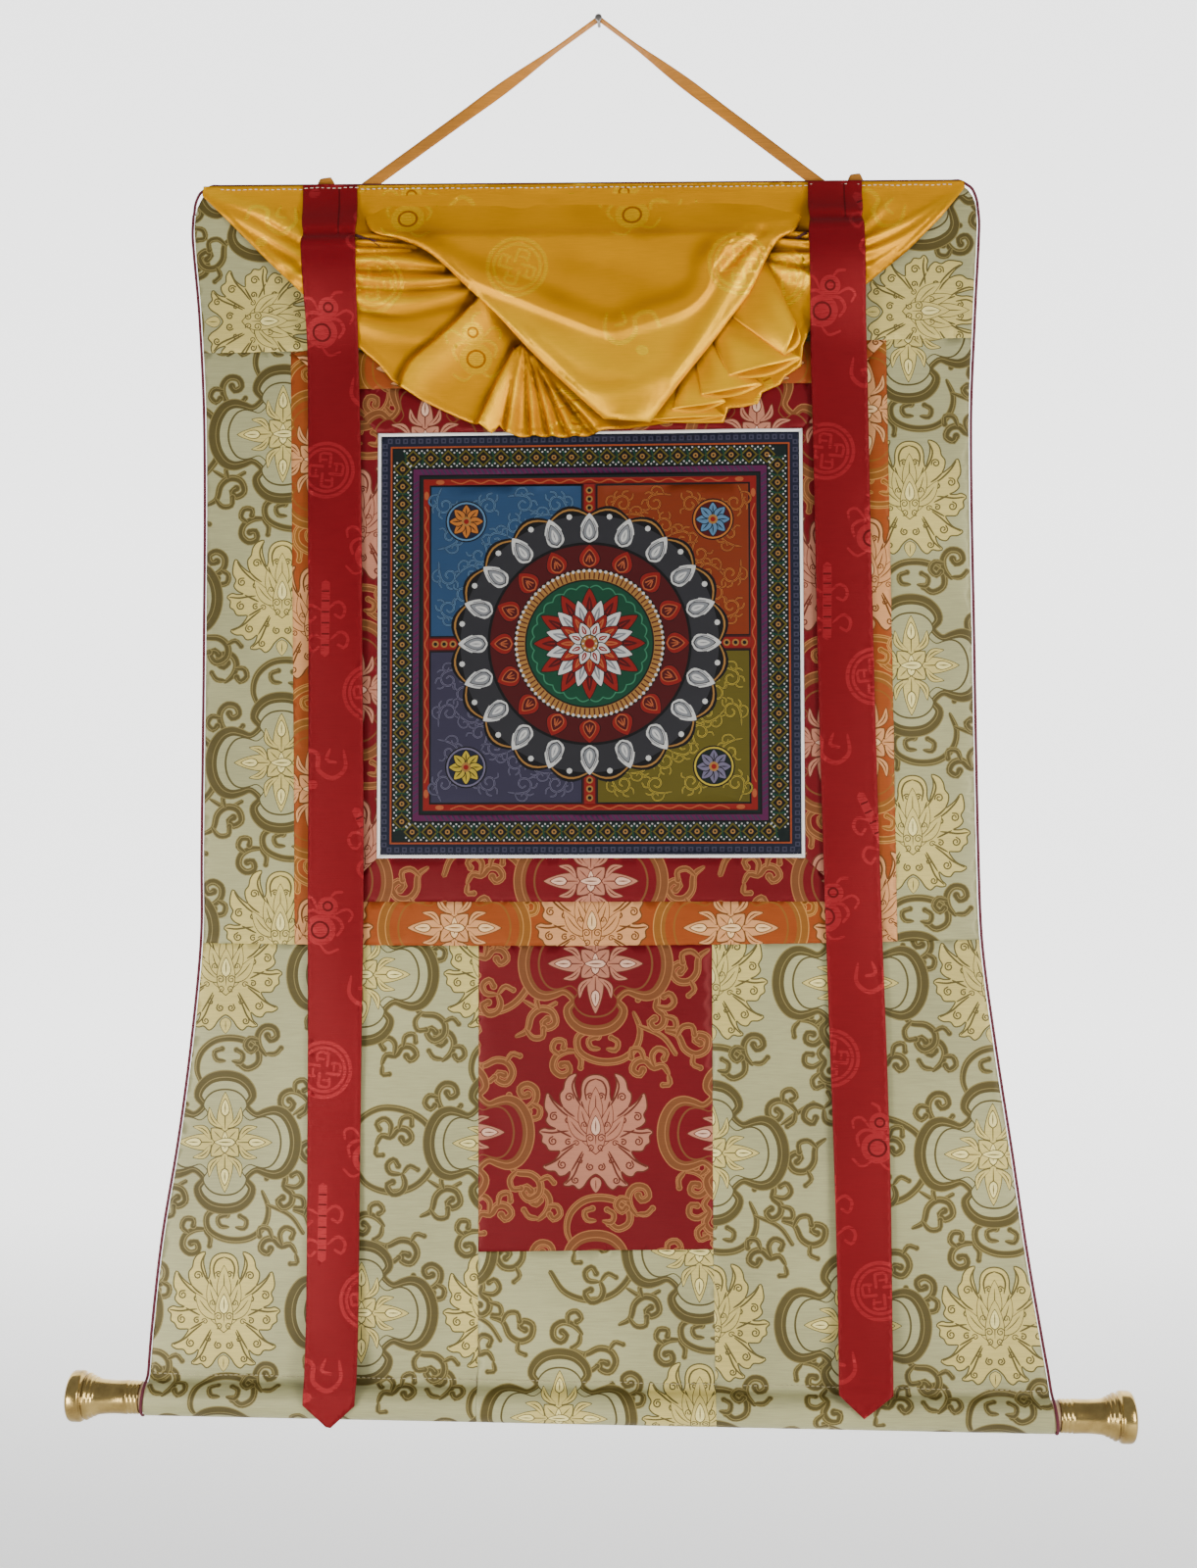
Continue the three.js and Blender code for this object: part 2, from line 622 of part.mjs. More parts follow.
// Sleeve outline round the dowel, as distances out from the cloth's plane and up from the dowel's axis.
// The outside runs from the front fillet round below the dowel to the back fillet, and the hole runs back.
const SLEEVE_STEPS = { fillet: 3, circle: 18, crown: 4 };
function sleeveOutline() {
  const outer = SLEEVE.innerRadius + SLEEVE.wall;
  const centreOut = CLOTH_THICKNESS / 2 + SLEEVE.filletRadius;
  const startUp = Math.sqrt((outer + SLEEVE.filletRadius) ** 2 - centreOut ** 2);
  const meet = Math.atan2(startUp, centreOut);
  const far = -Math.PI - meet;
  const fillet = [];
  for (let step = 0; step < SLEEVE_STEPS.fillet; step += 1) {
    const angle = THREE.MathUtils.lerp(Math.PI, Math.PI + meet, step / SLEEVE_STEPS.fillet);
    fillet.push({
      out: centreOut + SLEEVE.filletRadius * Math.cos(angle),
      up: startUp + SLEEVE.filletRadius * Math.sin(angle),
    });
  }
  const circle = sleeveArc(outer, meet, far, SLEEVE_STEPS.circle);
  const backFillet = fillet.map((point) => ({ out: -point.out, up: point.up })).reverse();
  const hole = sleeveArc(SLEEVE.innerRadius, far, meet, SLEEVE_STEPS.circle);
  const crown = sleeveArc(SLEEVE.innerRadius, meet, Math.PI - meet, SLEEVE_STEPS.crown).slice(1, -1);
  return { outside: [...fillet, ...circle, ...backFillet], hole: [...hole, ...crown], startUp };
}

// Triangles that close one end of a hemmed panel: its flat part, the neck above the sleeve and the ring
function hemCap(section, rows) {
  const { fillet, circle, crown } = SLEEVE_STEPS;
  const circleStart = rows + fillet;
  const backStart = circleStart + circle + 1 + fillet;
  const holeStart = backStart + rows;
  const cap = [];
  const quad = (a, b, c, d) => cap.push([a, b, c], [a, c, d]);
  const back = (row) => backStart + rows - 1 - row;
  for (let row = 0; row < rows - 1; row += 1) {
    quad(row, row + 1, back(row + 1), back(row));
  }
  const inside = (step) => holeStart + circle - step;
  for (let step = 0; step < circle; step += 1) {
    quad(circleStart + step, circleStart + step + 1, inside(step + 1), inside(step));
  }
  const neck = [];
  for (let index = rows - 1; index <= circleStart; index += 1) {
    neck.push(index);
  }
  for (let index = inside(0); index < holeStart + circle + crown; index += 1) {
    neck.push(index);
  }
  neck.push(inside(circle));
  for (let index = circleStart + circle; index <= backStart; index += 1) {
    neck.push(index);
  }
  const flat = neck.map((index) => new THREE.Vector2(section[index][1], section[index][2]));
  for (const face of THREE.ShapeUtils.triangulateShape(flat, [])) {
    cap.push(face.map((corner) => neck[corner]));
  }
  return cap;
}

function hemmedPanel(outline, columns, rows) {
  const { outside, hole, startUp } = sleeveOutline();
  const inset = SEAM_GAP / 2;
  const half = CLOTH_THICKNESS / 2;
  const left = (z) => outline.left(z) + inset;
  const right = (z) => outline.right(z) - inset;
  const field = { left, right, top: (x) => outline.top(x) - inset, bottom: (x) => dowelHeight(x) + startUp };
  const sections = [];
  for (let column = 0; column <= columns; column += 1) {
    const across = column / columns;
    const flat = [];
    for (let row = 0; row < rows; row += 1) {
      flat.push(panelPoint(field, across, row / rows));
    }
    const [, foldHeight] = panelPoint(field, across, 1);
    const sleevePoint = (point) => {
      const height = foldHeight - startUp + point.up;
      return [THREE.MathUtils.lerp(left(height), right(height), across), -BOTTOM_DEPTH - point.out, height];
    };
    const front = flat.map(([x, z]) => [x, clothDepth(x, z) - half, z]);
    const back = flat.map(([x, z]) => [x, clothDepth(x, z) + half, z]).reverse();
    sections.push({ outer: [...front, ...outside.map(sleevePoint), ...back], hole: hole.map(sleevePoint) });
  }
  return sweptSolid(sections, hemCap([...sections[0].outer, ...sections[0].hole], rows));
}

// Closed solid of sections with one hole, joined one to the next and capped at both ends
function sweptSolid(sections, cap) {
  const positions = [];
  const faces = [];
  const outerCount = sections[0].outer.length;
  const holeCount = sections[0].hole.length;
  const ring = outerCount + holeCount;
  for (const section of sections) {
    section.outer.forEach((point) => positions.push(...point));
    section.hole.forEach((point) => positions.push(...point));
  }
  const bridge = (start, count, column) => {
    for (let index = 0; index < count; index += 1) {
      const a = column * ring + start + index;
      const b = column * ring + start + ((index + 1) % count);
      faces.push(a, b, b + ring, a, b + ring, a + ring);
    }
  };
  const lastColumn = sections.length - 1;
  for (let column = 0; column < lastColumn; column += 1) {
    bridge(0, outerCount, column);
    bridge(outerCount, holeCount, column);
  }
  const shift = lastColumn * ring;
  for (const [a, b, c] of cap) {
    faces.push(a, c, b, shift + a, shift + b, shift + c);
  }
  const geometry = new THREE.BufferGeometry();
  geometry.setAttribute("position", new THREE.Float32BufferAttribute(positions, 3));
  geometry.setIndex(faces);
  return geometry;
}

const DOOR = { left: -100.5, right: 109.5, leftFoot: -546.3, rightFoot: -542.2 };
const FOOT_PANEL = { left: -101, right: 111.5, height: -700 };
function addLowerPanels() {
  const doorFoot = lineZ(DOOR.left, DOOR.leftFoot, DOOR.right, DOOR.rightFoot);
  const footDrop = DOOR.rightFoot - FOOT_PANEL.height;
  const footShare = (z) => THREE.MathUtils.clamp((DOOR.rightFoot - z) / footDrop, 0, 1);
  const footLeft = (z) => THREE.MathUtils.lerp(DOOR.left, FOOT_PANEL.left, footShare(z));
  const footRight = (z) => THREE.MathUtils.lerp(DOOR.right, FOOT_PANEL.right, footShare(z));
  const door = { left: () => DOOR.left, right: () => DOOR.right, top: waistSeam, bottom: doorFoot };
  addPiece("door_panel", flatPanel(door, 6, 8), COLOURS.redBrocade, 0.68);
  const foot = { left: footLeft, right: footRight, top: doorFoot };
  addPiece("foot_panel", hemmedPanel(foot, 4, 4), COLOURS.paleBrocade, 0.7);
  const left = { left: clothLeft, right: footLeft, top: waistSeam };
  addPiece("lower_left_panel", hemmedPanel(left, 6, 13), COLOURS.paleBrocade, 0.7);
  const right = { left: footRight, right: clothRight, top: waistSeam };
  addPiece("lower_right_panel", hemmedPanel(right, 6, 13), COLOURS.paleBrocade, 0.7);
}

// Crimson piping down each side and round the end of the sleeve, and along the top edge and its corners
const SLEEVE_END_DEGREES = [58, 36, 14, -8, -30, -52, -74, -96, -118];
const CORNER_RISES = [SEAM_GAP, 5, 10, 14, 17.5];
const TOP_PIPING_X = [-349, -341, -325, -230, -115, 0, 115, 230, 313, 329, 337];
function addEdgePiping() {
  const { startUp } = sleeveOutline();
  const loopRadius = SLEEVE.innerRadius + SLEEVE.wall - SEAM_GAP;
  const sides = [
    { name: "edge_piping_left", edge: leftEdge, inward: 1 },
    { name: "edge_piping_right", edge: rightEdge, inward: -1 },
  ];
  const pipingPoint = (side, z) => {
    const x = side.edge(z) + side.inward * EDGE_PIPING_RADIUS;
    return new THREE.Vector3(x, clothDepth(x, z), z);
  };
  for (const side of sides) {
    const points = [];
    const steps = 36;
    const foldHeight = dowelHeight(side.edge(HEM_FOLD_HEIGHT)) + startUp;
    for (let step = 0; step <= steps; step += 1) {
      points.push(pipingPoint(side, THREE.MathUtils.lerp(CORNER_FOOT, foldHeight, step / steps)));
    }
    for (const degrees of SLEEVE_END_DEGREES) {
      const angle = THREE.MathUtils.degToRad(degrees);
      const height = foldHeight - startUp + loopRadius * Math.sin(angle);
      const x = side.edge(height) + side.inward * EDGE_PIPING_RADIUS;
      points.push(new THREE.Vector3(x, -BOTTOM_DEPTH - loopRadius * Math.cos(angle), height));
    }
    addPiece(side.name, roundCordSolid(points, EDGE_PIPING_RADIUS, 6), COLOURS.crimson, 0.75);
  }
  const topPoints = CORNER_RISES.map((rise) => pipingPoint(sides[0], CORNER_FOOT + rise + CORNER_LIFT));
  topPoints[0].z = CORNER_FOOT + SEAM_GAP;
  for (const x of TOP_PIPING_X) {
    topPoints.push(new THREE.Vector3(x, -TOP_DEPTH, topEdge(x) + EDGE_PIPING_RADIUS - SEAM_GAP));
  }
  for (const rise of [...CORNER_RISES].reverse()) {
    topPoints.push(pipingPoint(sides[1], CORNER_FOOT + rise - (rise > SEAM_GAP ? CORNER_LIFT : 0)));
  }
  addPiece("edge_piping_top", roundCordSolid(topPoints, EDGE_PIPING_RADIUS, 6), COLOURS.crimson, 0.75);
}

// Wooden dowel in the hem sleeve, and the two turned brass knobs with a blind socket for its ends
const SOCKET_RADIUS = DOWEL.radius + SEAM_GAP;
const DOWEL_DROP = 0.3;
function addDowelAndKnobs() {
  const leftFace = SIDE_EDGES[SIDE_EDGES.length - 1].left - 2 * SEAM_GAP;
  const rightFace = SIDE_EDGES[SIDE_EDGES.length - 1].right + 2 * SEAM_GAP;
  const reach = DOWEL.socketDepth - 1;
  const length = rightFace - leftFace + 2 * reach;
  const tilt = Math.atan(DOWEL.slope);
  const middleX = (leftFace + rightFace) / 2;
  const height = (x) => dowelHeight(x) - DOWEL_DROP;
  const round = new THREE.CylinderGeometry(DOWEL.radius, DOWEL.radius, length, 28);
  const dowel = addPiece("dowel", round, COLOURS.wood, 0.6);
  dowel.rotation.z = Math.PI / 2;
  const dowelHolder = new THREE.Group();
  dowelHolder.rotation.y = -tilt;
  dowelHolder.position.set(middleX, -BOTTOM_DEPTH, height(middleX));
  dowelHolder.add(dowel);
  scroll.add(dowelHolder);
  const profile = KNOB_PROFILE.map((row) => new THREE.Vector2(row.radius, row.along));
  profile.push(new THREE.Vector2(0, DOWEL.socketDepth));
  profile.push(new THREE.Vector2(SOCKET_RADIUS, DOWEL.socketDepth));
  profile.push(new THREE.Vector2(SOCKET_RADIUS, 0));
  profile.push(new THREE.Vector2(KNOB_PROFILE[0].radius, 0));
  const knobs = [
    { name: "knob_left", x: leftFace, turn: Math.PI / 2 },
    { name: "knob_right", x: rightFace, turn: -Math.PI / 2 },
  ];
  for (const knob of knobs) {
    const mesh = addPiece(knob.name, new THREE.LatheGeometry(profile, 20), COLOURS.brass, 0.35, 0.85);
    mesh.rotation.z = knob.turn;
    const holder = new THREE.Group();
    holder.rotation.y = -tilt;
    holder.position.set(knob.x, -BOTTOM_DEPTH, height(knob.x));
    holder.add(mesh);
    scroll.add(holder);
  }
}

// Red ribbon: two layers of silk sewn to the top edge, over the tied veil and down past the hem
function addRibbon(name, table, tip) {
  const column = (key) => (z) => tableValue(table, "height", z, key);
  const bottom = (x) => {
    const edge = x < tip.x ? column("left")(tip.shoulderHeight) : column("right")(tip.shoulderHeight);
    const share = THREE.MathUtils.clamp((x - tip.x) / (edge - tip.x), 0, 1);
    return THREE.MathUtils.lerp(tip.tipHeight, tip.shoulderHeight, share);
  };
  const outline = { left: column("left"), right: column("right"), top: (x) => topEdge(x) + 0.3, bottom };
  const middle = (across, down) => {
    const [x, z] = panelPoint(outline, across, down);
    return [x, -column("depth")(z), z];
  };
  addPiece(name, sheetSolid(4, 32, middle, RIBBON_THICKNESS), COLOURS.ribbon, 0.55);
}

// How far a point of the veil stands forward because of its folds and its tied necks
function veilRelief(x, z) {
  let relief = 0;
  for (const fold of VEIL_FOLDS) {
    const runX = fold.toX - fold.fromX;
    const runZ = fold.toZ - fold.fromZ;
    const along = THREE.MathUtils.clamp(
      ((x - fold.fromX) * runX + (z - fold.fromZ) * runZ) / (runX * runX + runZ * runZ),
      0,
      1,
    );
    const distance = Math.hypot(x - fold.fromX - along * runX, z - fold.fromZ - along * runZ);
    relief = Math.max(relief, fold.height * Math.exp(-((distance / fold.width) ** 2)));
  }
  let neck = 0;
  for (const place of VEIL_NECKS) {
    const off = ((x - place.x) / place.halfWidth) ** 2 + ((z - place.height) / place.halfHeight) ** 2;
    neck += place.depth * Math.exp(-off);
  }
  return relief + neck;
}

// Depth of the middle of the veil's back layer: sewn flat at the heading, then clear of the cloth
function veilBackDepth(x, z) {
  const fall = THREE.MathUtils.smoothstep(topEdge(x) - z, 0, 40);
  const clearance = THREE.MathUtils.lerp(SEAM_GAP, DRAPE_CLEARANCE + 0.4, fall);
  return clothDepth(x, z) - CLOTH_THICKNESS / 2 - clearance - VEIL_THICKNESS / 2 - fall * veilRelief(x, z);
}

// Yellow silk veil: a back layer gathered behind both ribbons, and a swag that falls in front of it.
// The swag stands off by the share that has fallen from the heading, and more where it flares near its hem.
const SWAG_STANDOFF = { edge: 13, crown: 3 };
const SWAG_FLARE = { edge: 5, crown: 4 };
function addVeil() {
  const firstX = VEIL_HEM[0].x;
  const lastX = VEIL_HEM[VEIL_HEM.length - 1].x;
  const backPoint = (across, down) => {
    const x = THREE.MathUtils.lerp(firstX, lastX, across);
    const z = THREE.MathUtils.lerp(topEdge(x), straightValue(VEIL_HEM, "x", x, "height"), down);
    return [x, veilBackDepth(x, z), z];
  };
  const swagPoint = (across, down) => {
    const column = (key) => tableValue(SWAG_EDGES, "along", down, key);
    const x = THREE.MathUtils.lerp(column("leftX"), column("rightX"), across);
    const z = THREE.MathUtils.lerp(column("leftHeight"), column("rightHeight"), across);
    const fall = THREE.MathUtils.smoothstep(down, 0.04, 0.3);
    const flare = THREE.MathUtils.smoothstep(down, 0.4, 1);
    const crown = Math.sin(Math.PI * across) ** 0.7;
    const sewn = clothDepth(x, z) - CLOTH_THICKNESS / 2 - SEAM_GAP - VEIL_THICKNESS / 2;
    const standoff = fall * (SWAG_STANDOFF.edge + SWAG_STANDOFF.crown * crown);
    return [x, sewn - standoff - flare * (SWAG_FLARE.edge + SWAG_FLARE.crown * crown), z];
  };
  const back = sheetSolid(66, 13, backPoint, VEIL_THICKNESS);
  const swag = sheetSolid(14, 16, swagPoint, VEIL_THICKNESS);
  addPiece("veil", joinedSolid([back, swag]), COLOURS.veil, 0.5);
}

// Crimson tie round each bunched neck of the veil, seen for a short way beside the ribbon.
// Its lift is its clearance from the folds that it crosses.
const TIE = { width: 4, thickness: 1.2 };
const LEFT_TIE_ROUTE = [
  { x: -218, height: 374 },
  { x: -211, height: 373 },
  { x: -203, height: 371 },
  { x: -195, height: 368 },
  { x: -187, height: 364 },
];
const RIGHT_TIE_ROUTE = [
  { x: 210, height: 371 },
  { x: 202, height: 369.5 },
  { x: 195, height: 367.5 },
  { x: 188, height: 365 },
  { x: 181, height: 362 },
];
function addVeilTies() {
  const ties = [
    { name: "veil_tie_left", lift: 1.6, route: LEFT_TIE_ROUTE, turned: 1 },
    { name: "veil_tie_right", lift: 0.6, route: RIGHT_TIE_ROUTE, turned: -1 },
  ];
  for (const tie of ties) {
    const points = tie.route.map(({ x, height }) => {
      const depth = veilBackDepth(x, height) - VEIL_THICKNESS / 2 - tie.lift - TIE.thickness / 2;
      return new THREE.Vector3(x, depth, height);
    });
    const across = (share, along) => new THREE.Vector3(0, -tie.turned, 0).cross(along).normalize();
    const stations = stationsAlong(points, across, TIE.width);
    addPiece(tie.name, strapSolid(stations, TIE.thickness), COLOURS.crimson, 0.75);
  }
}

addNail();
addHangingTape();
addTapeFolds();
addUpperPanels();
addBordersAndPainting();
addLowerPanels();
addEdgePiping();
addDowelAndKnobs();
addRibbon("ribbon_left", LEFT_RIBBON, LEFT_RIBBON_TIP);
addRibbon("ribbon_right", RIGHT_RIBBON, RIGHT_RIBBON_TIP);
addVeil();
addVeilTies();

scroll.position.set(-NAIL.x, 0, -NAIL.height);
const assembly = new THREE.Group();
assembly.add(scroll);

export default assembly;
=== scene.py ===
# Looks of a brocade-mounted scroll painting that hangs by a tape from a wall nail.
# Sizes are in millimetres from the middle of the painting, as a maker would measure them.

import math
from itertools import product

import bpy
import numpy as np
from mathutils import Matrix, Vector
from mathutils.geometry import delaunay_2d_cdt


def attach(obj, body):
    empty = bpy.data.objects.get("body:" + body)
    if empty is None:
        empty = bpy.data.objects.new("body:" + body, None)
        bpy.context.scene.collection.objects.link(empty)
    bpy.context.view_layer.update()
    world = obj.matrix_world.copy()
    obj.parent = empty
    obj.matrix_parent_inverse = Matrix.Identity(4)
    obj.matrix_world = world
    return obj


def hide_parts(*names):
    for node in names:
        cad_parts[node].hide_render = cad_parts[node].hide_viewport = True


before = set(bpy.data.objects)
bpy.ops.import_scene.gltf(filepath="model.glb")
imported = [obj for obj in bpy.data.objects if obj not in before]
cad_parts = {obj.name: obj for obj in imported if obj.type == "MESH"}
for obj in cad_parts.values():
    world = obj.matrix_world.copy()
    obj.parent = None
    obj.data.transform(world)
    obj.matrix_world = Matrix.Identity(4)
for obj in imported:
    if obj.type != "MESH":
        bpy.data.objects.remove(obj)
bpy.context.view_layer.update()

# Camera: it stands in front of the picture, a little to the right and below its middle,
# and looks slightly left and up. The nail's foot on the wall is the frame's origin.
NAIL_FOOT = np.array([9.5, 0.0, 573.0])
EYE = (80.6, -1622.8, -173.8)
LENS_LENGTH, SENSOR_WIDTH, FARTHEST_SIGHT = 40.905, 36, 60
CAMERA_YAW, CAMERA_PITCH, CAMERA_ROLL = (math.radians(angle) for angle in (2.59, 1.65, -0.13))


def place(points):
    """Millimetres from the painting's middle, as metres in the frame."""
    return (np.asarray(points, float) - NAIL_FOOT) / 1000


def add_object(name, data):
    made = bpy.data.objects.new(name, data)
    bpy.context.scene.collection.objects.link(made)
    return made


def make_camera():
    camera = add_object("camera", bpy.data.cameras.new("camera"))
    camera.data.lens = LENS_LENGTH
    camera.data.sensor_width = SENSOR_WIDTH
    camera.data.clip_end = FARTHEST_SIGHT
    ahead = Vector((-math.sin(CAMERA_YAW) * math.cos(CAMERA_PITCH),
                    math.cos(CAMERA_YAW) * math.cos(CAMERA_PITCH), math.sin(CAMERA_PITCH)))
    level = Vector((math.cos(CAMERA_YAW), math.sin(CAMERA_YAW), 0))
    upright = level.cross(ahead)
    right = level * math.cos(CAMERA_ROLL) + upright * math.sin(CAMERA_ROLL)
    up = upright * math.cos(CAMERA_ROLL) - level * math.sin(CAMERA_ROLL)
    turn = Matrix((right, up, -ahead)).transposed().to_4x4()
    camera.matrix_world = Matrix.Translation(place(EYE)) @ turn
    bpy.context.scene.camera = camera


make_camera()


# Studio: a pale floor well below the scroll that sweeps up far behind it as a lit backdrop,
# a pale sky and three soft lights. The sweep is a stage and no part of the scroll.
def node(tree, kind, links=None, **settings):
    """A shader node with its settings, its numbered or named inputs set or linked."""
    made = tree.nodes.new("ShaderNode" + kind)
    for setting, value in settings.items():
        setattr(made, setting, value)
    for key, source in (links or {}).items():
        if isinstance(source, bpy.types.NodeSocket):
            tree.links.new(source, made.inputs[key])
        else:
            made.inputs[key].default_value = source
    return made


def new_finish(name, **plain):
    """A material, its node tree and its Principled shader, which gets the plain values."""
    material = bpy.data.materials.new(name)
    material.use_nodes = True
    surface = material.node_tree.nodes["Principled BSDF"]
    for key, value in plain.items():
        surface.inputs[key.replace("_", " ").title()].default_value = value
    return material, material.node_tree, surface


def make_sweep():
    reach, floor_height, bend, far, top, level_end = 14, -1.75, 2.2, 5.2, 9, 1.2
    profile = [(-reach, floor_height), (far - bend - level_end, floor_height)]
    for degrees in np.linspace(0, 90, 13):
        angle = math.radians(degrees)
        profile.append((far - bend + bend * math.sin(angle), floor_height + bend - bend * math.cos(angle)))
    profile.append((far, top))
    mesh = bpy.data.meshes.new("studio_sweep")
    points = [(side * reach, y, z) for y, z in profile for side in (-1, 1)]
    faces = [(2 * row, 2 * row + 1, 2 * row + 3, 2 * row + 2) for row in range(len(profile) - 1)]
    mesh.from_pydata(points, [], faces)
    mesh.polygons.foreach_set("use_smooth", [True] * len(faces))
    paint, tree, surface = new_finish("pale_sweep", base_color=(0.88, 0.88, 0.87, 1), roughness=0.9,
                                      emission_strength=2.2)
    depth = node(tree, "SeparateXYZ", {0: node(tree, "TexCoord").outputs["Object"]}).outputs["Y"]
    glow = node(tree, "MapRange", {0: depth, 1: 0.4, 2: 4.2, 3: 0.0, 4: 1.0})
    tree.links.new(glow.outputs[0], surface.inputs["Emission Color"])
    mesh.materials.append(paint)
    add_object("studio_sweep", mesh)


def make_light(name, spot, target, width, height, watts, colour):
    light = bpy.data.lights.new(name, "AREA")
    light.shape = "RECTANGLE"
    light.size, light.size_y = width, height
    light.energy = watts
    light.color = colour
    holder = add_object(name, light)
    holder.location = spot
    holder.rotation_mode = "QUATERNION"
    holder.rotation_quaternion = (Vector(target) - Vector(spot)).to_track_quat("-Z", "Y")


def make_sky(strength):
    sky = bpy.data.worlds.new("pale_sky")
    sky.use_nodes = True
    glow = sky.node_tree.nodes["Background"]
    glow.inputs["Color"].default_value = (0.95, 0.97, 1.0, 1)
    glow.inputs["Strength"].default_value = strength
    bpy.context.scene.world = sky


make_sweep()
make_sky(0.40)
make_light("window_light", (-1.6, -1.7, -1.45), (0, 0, -0.55), 0.9, 0.9, 50, (1.0, 0.98, 0.95))
make_light("room_light", (1.9, -1.7, -0.75), (0, 0, -0.6), 0.9, 1.1, 52, (1.0, 0.97, 0.93))
make_light("back_light", (0.9, 2.1, 0.5), (0, 0, -0.6), 1.6, 1.6, 8, (1.0, 1.0, 1.0))

# Hanging tape: a flat woven gold tape, sewn behind the top edge and laid over the nail.
# Its legs turn edge on towards the nail, where the tape hangs over the shank.
NAIL_LENGTH, NAIL_SHANK_RADIUS, NAIL_HEAD_RADIUS, NAIL_HEAD_THICKNESS = 17.0, 1.5, 3.2, 1.6
TAPE_WIDTH, TAPE_THICKNESS = 11.0, 1.2
TAPE_FEET = (-222.0, 226.0)
TAPE_FOOT_DEPTH, TAPE_HIDDEN = 6.8, 12.0
TAPE_LEG_STEPS = 14
TOP_HEIGHT, TOP_SLOPE = 422, 0.0115


def top_edge(x):
    return TOP_HEIGHT - TOP_SLOPE * np.asarray(x, float)


def add_mesh(name, points, faces, material, smooth=True):
    """A mesh object from points in millimetres and faces, with one material."""
    mesh = bpy.data.meshes.new(name)
    mesh.from_pydata(place(points).tolist(), [], [tuple(int(corner) for corner in face) for face in faces])
    mesh.materials.append(material)
    mesh.polygons.foreach_set("use_smooth", [smooth] * len(mesh.polygons))
    mesh.update()
    return add_object(name, mesh)


def dress(piece, slot, *nodes):
    """The piece rides on the scroll and stands for its solids; its slot is not used."""
    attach(piece, "root")
    if nodes:
        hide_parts(*nodes)


def tube_faces(rings, sides):
    """Quads of a closed tube with flat ends."""
    faces = []
    for start, side in product(range(0, (rings - 1) * sides, sides), range(sides)):
        after = (side + 1) % sides
        faces.append((start + side, start + after, start + sides + after, start + sides + side))
    last = (rings - 1) * sides
    return faces + [tuple(reversed(range(sides))), tuple(range(last, last + sides))]


def unit(vectors):
    vectors = np.asarray(vectors, float)
    return vectors / np.linalg.norm(vectors, axis=-1, keepdims=True)


def ridge(distance, width):
    return np.exp(-(distance / width) ** 2)


def smooth_step(value, low, high):
    share = np.clip((np.asarray(value, float) - low) / (high - low), 0, 1)
    return share * share * (3 - 2 * share)


def smooth_path(points, step, closed=False):
    """Even points on a Catmull-Rom curve through given ones."""
    points = np.asarray(points, float)
    if closed:
        padded = np.vstack([points[-1], points, points[0], points[1]])
    else:
        padded = np.vstack([2 * points[0] - points[1], points, 2 * points[-1] - points[-2]])
    fine = []
    for before, first, second, after in zip(padded[:-3], padded[1:-2], padded[2:-1], padded[3:]):
        for share in np.linspace(0, 1, 8, endpoint=False):
            fine.append(0.5 * (2 * first + (second - before) * share
                               + (2 * before - 5 * first + 4 * second - after) * share ** 2
                               + (3 * first - before - 3 * second + after) * share ** 3))
    fine.append(padded[-2])
    fine = np.array(fine)
    reached = np.concatenate([[0], np.cumsum(np.linalg.norm(np.diff(fine, axis=0), axis=1))])
    count = max(3, int(round(reached[-1] / step)) + 1)
    wanted = np.linspace(0, reached[-1], count)
    path = np.column_stack([np.interp(wanted, reached, fine[:, axis]) for axis in range(fine.shape[1])])
    return path[:-1] if closed else path


def strap(name, middles, across, width, thickness, material, bow=0.0, shares=1.0):
    """A woven strap with rounded edges along middle points, as a tube of flat section. Shares of
    the width make it narrower along the way."""
    middles = np.asarray(middles, float)
    along = unit(np.gradient(middles, axis=0))
    across = unit(across - along * np.sum(across * along, axis=1, keepdims=True))
    outward = np.cross(across, along)
    half = width / 2
    lip = thickness * 0.5
    section = [(-half, 0), (-half + lip * 0.4, 0.42), (-half * 0.5, 0.5), (0, 0.5), (half * 0.5, 0.5),
               (half - lip * 0.4, 0.42), (half, 0), (half - lip * 0.4, -0.42), (half * 0.5, -0.5),
               (0, -0.5), (-half * 0.5, -0.5), (-half + lip * 0.4, -0.42)]
    rings = []
    for side, lift in section:
        crown = bow * (1 - (side / half) ** 2)
        sideways = across * side * np.reshape(shares, (-1, 1))
        rings.append(middles + sideways + outward * (lift * thickness + crown))
    points = np.stack(rings, axis=1).reshape(-1, 3)
    return add_mesh(name, points, tube_faces(len(middles), len(section)), material)


def new_group(name, inputs, outputs):
    """An empty shader group with float, vector or colour sockets."""
    group = bpy.data.node_groups.new(name, "ShaderNodeTree")
    for direction, sockets in (("INPUT", inputs), ("OUTPUT", outputs)):
        for label, kind, *default in sockets:
            socket = group.interface.new_socket(label, in_out=direction, socket_type="NodeSocket" + kind)
            if default:
                socket.default_value = default[0]
    return group, group.nodes.new("NodeGroupInput"), group.nodes.new("NodeGroupOutput")


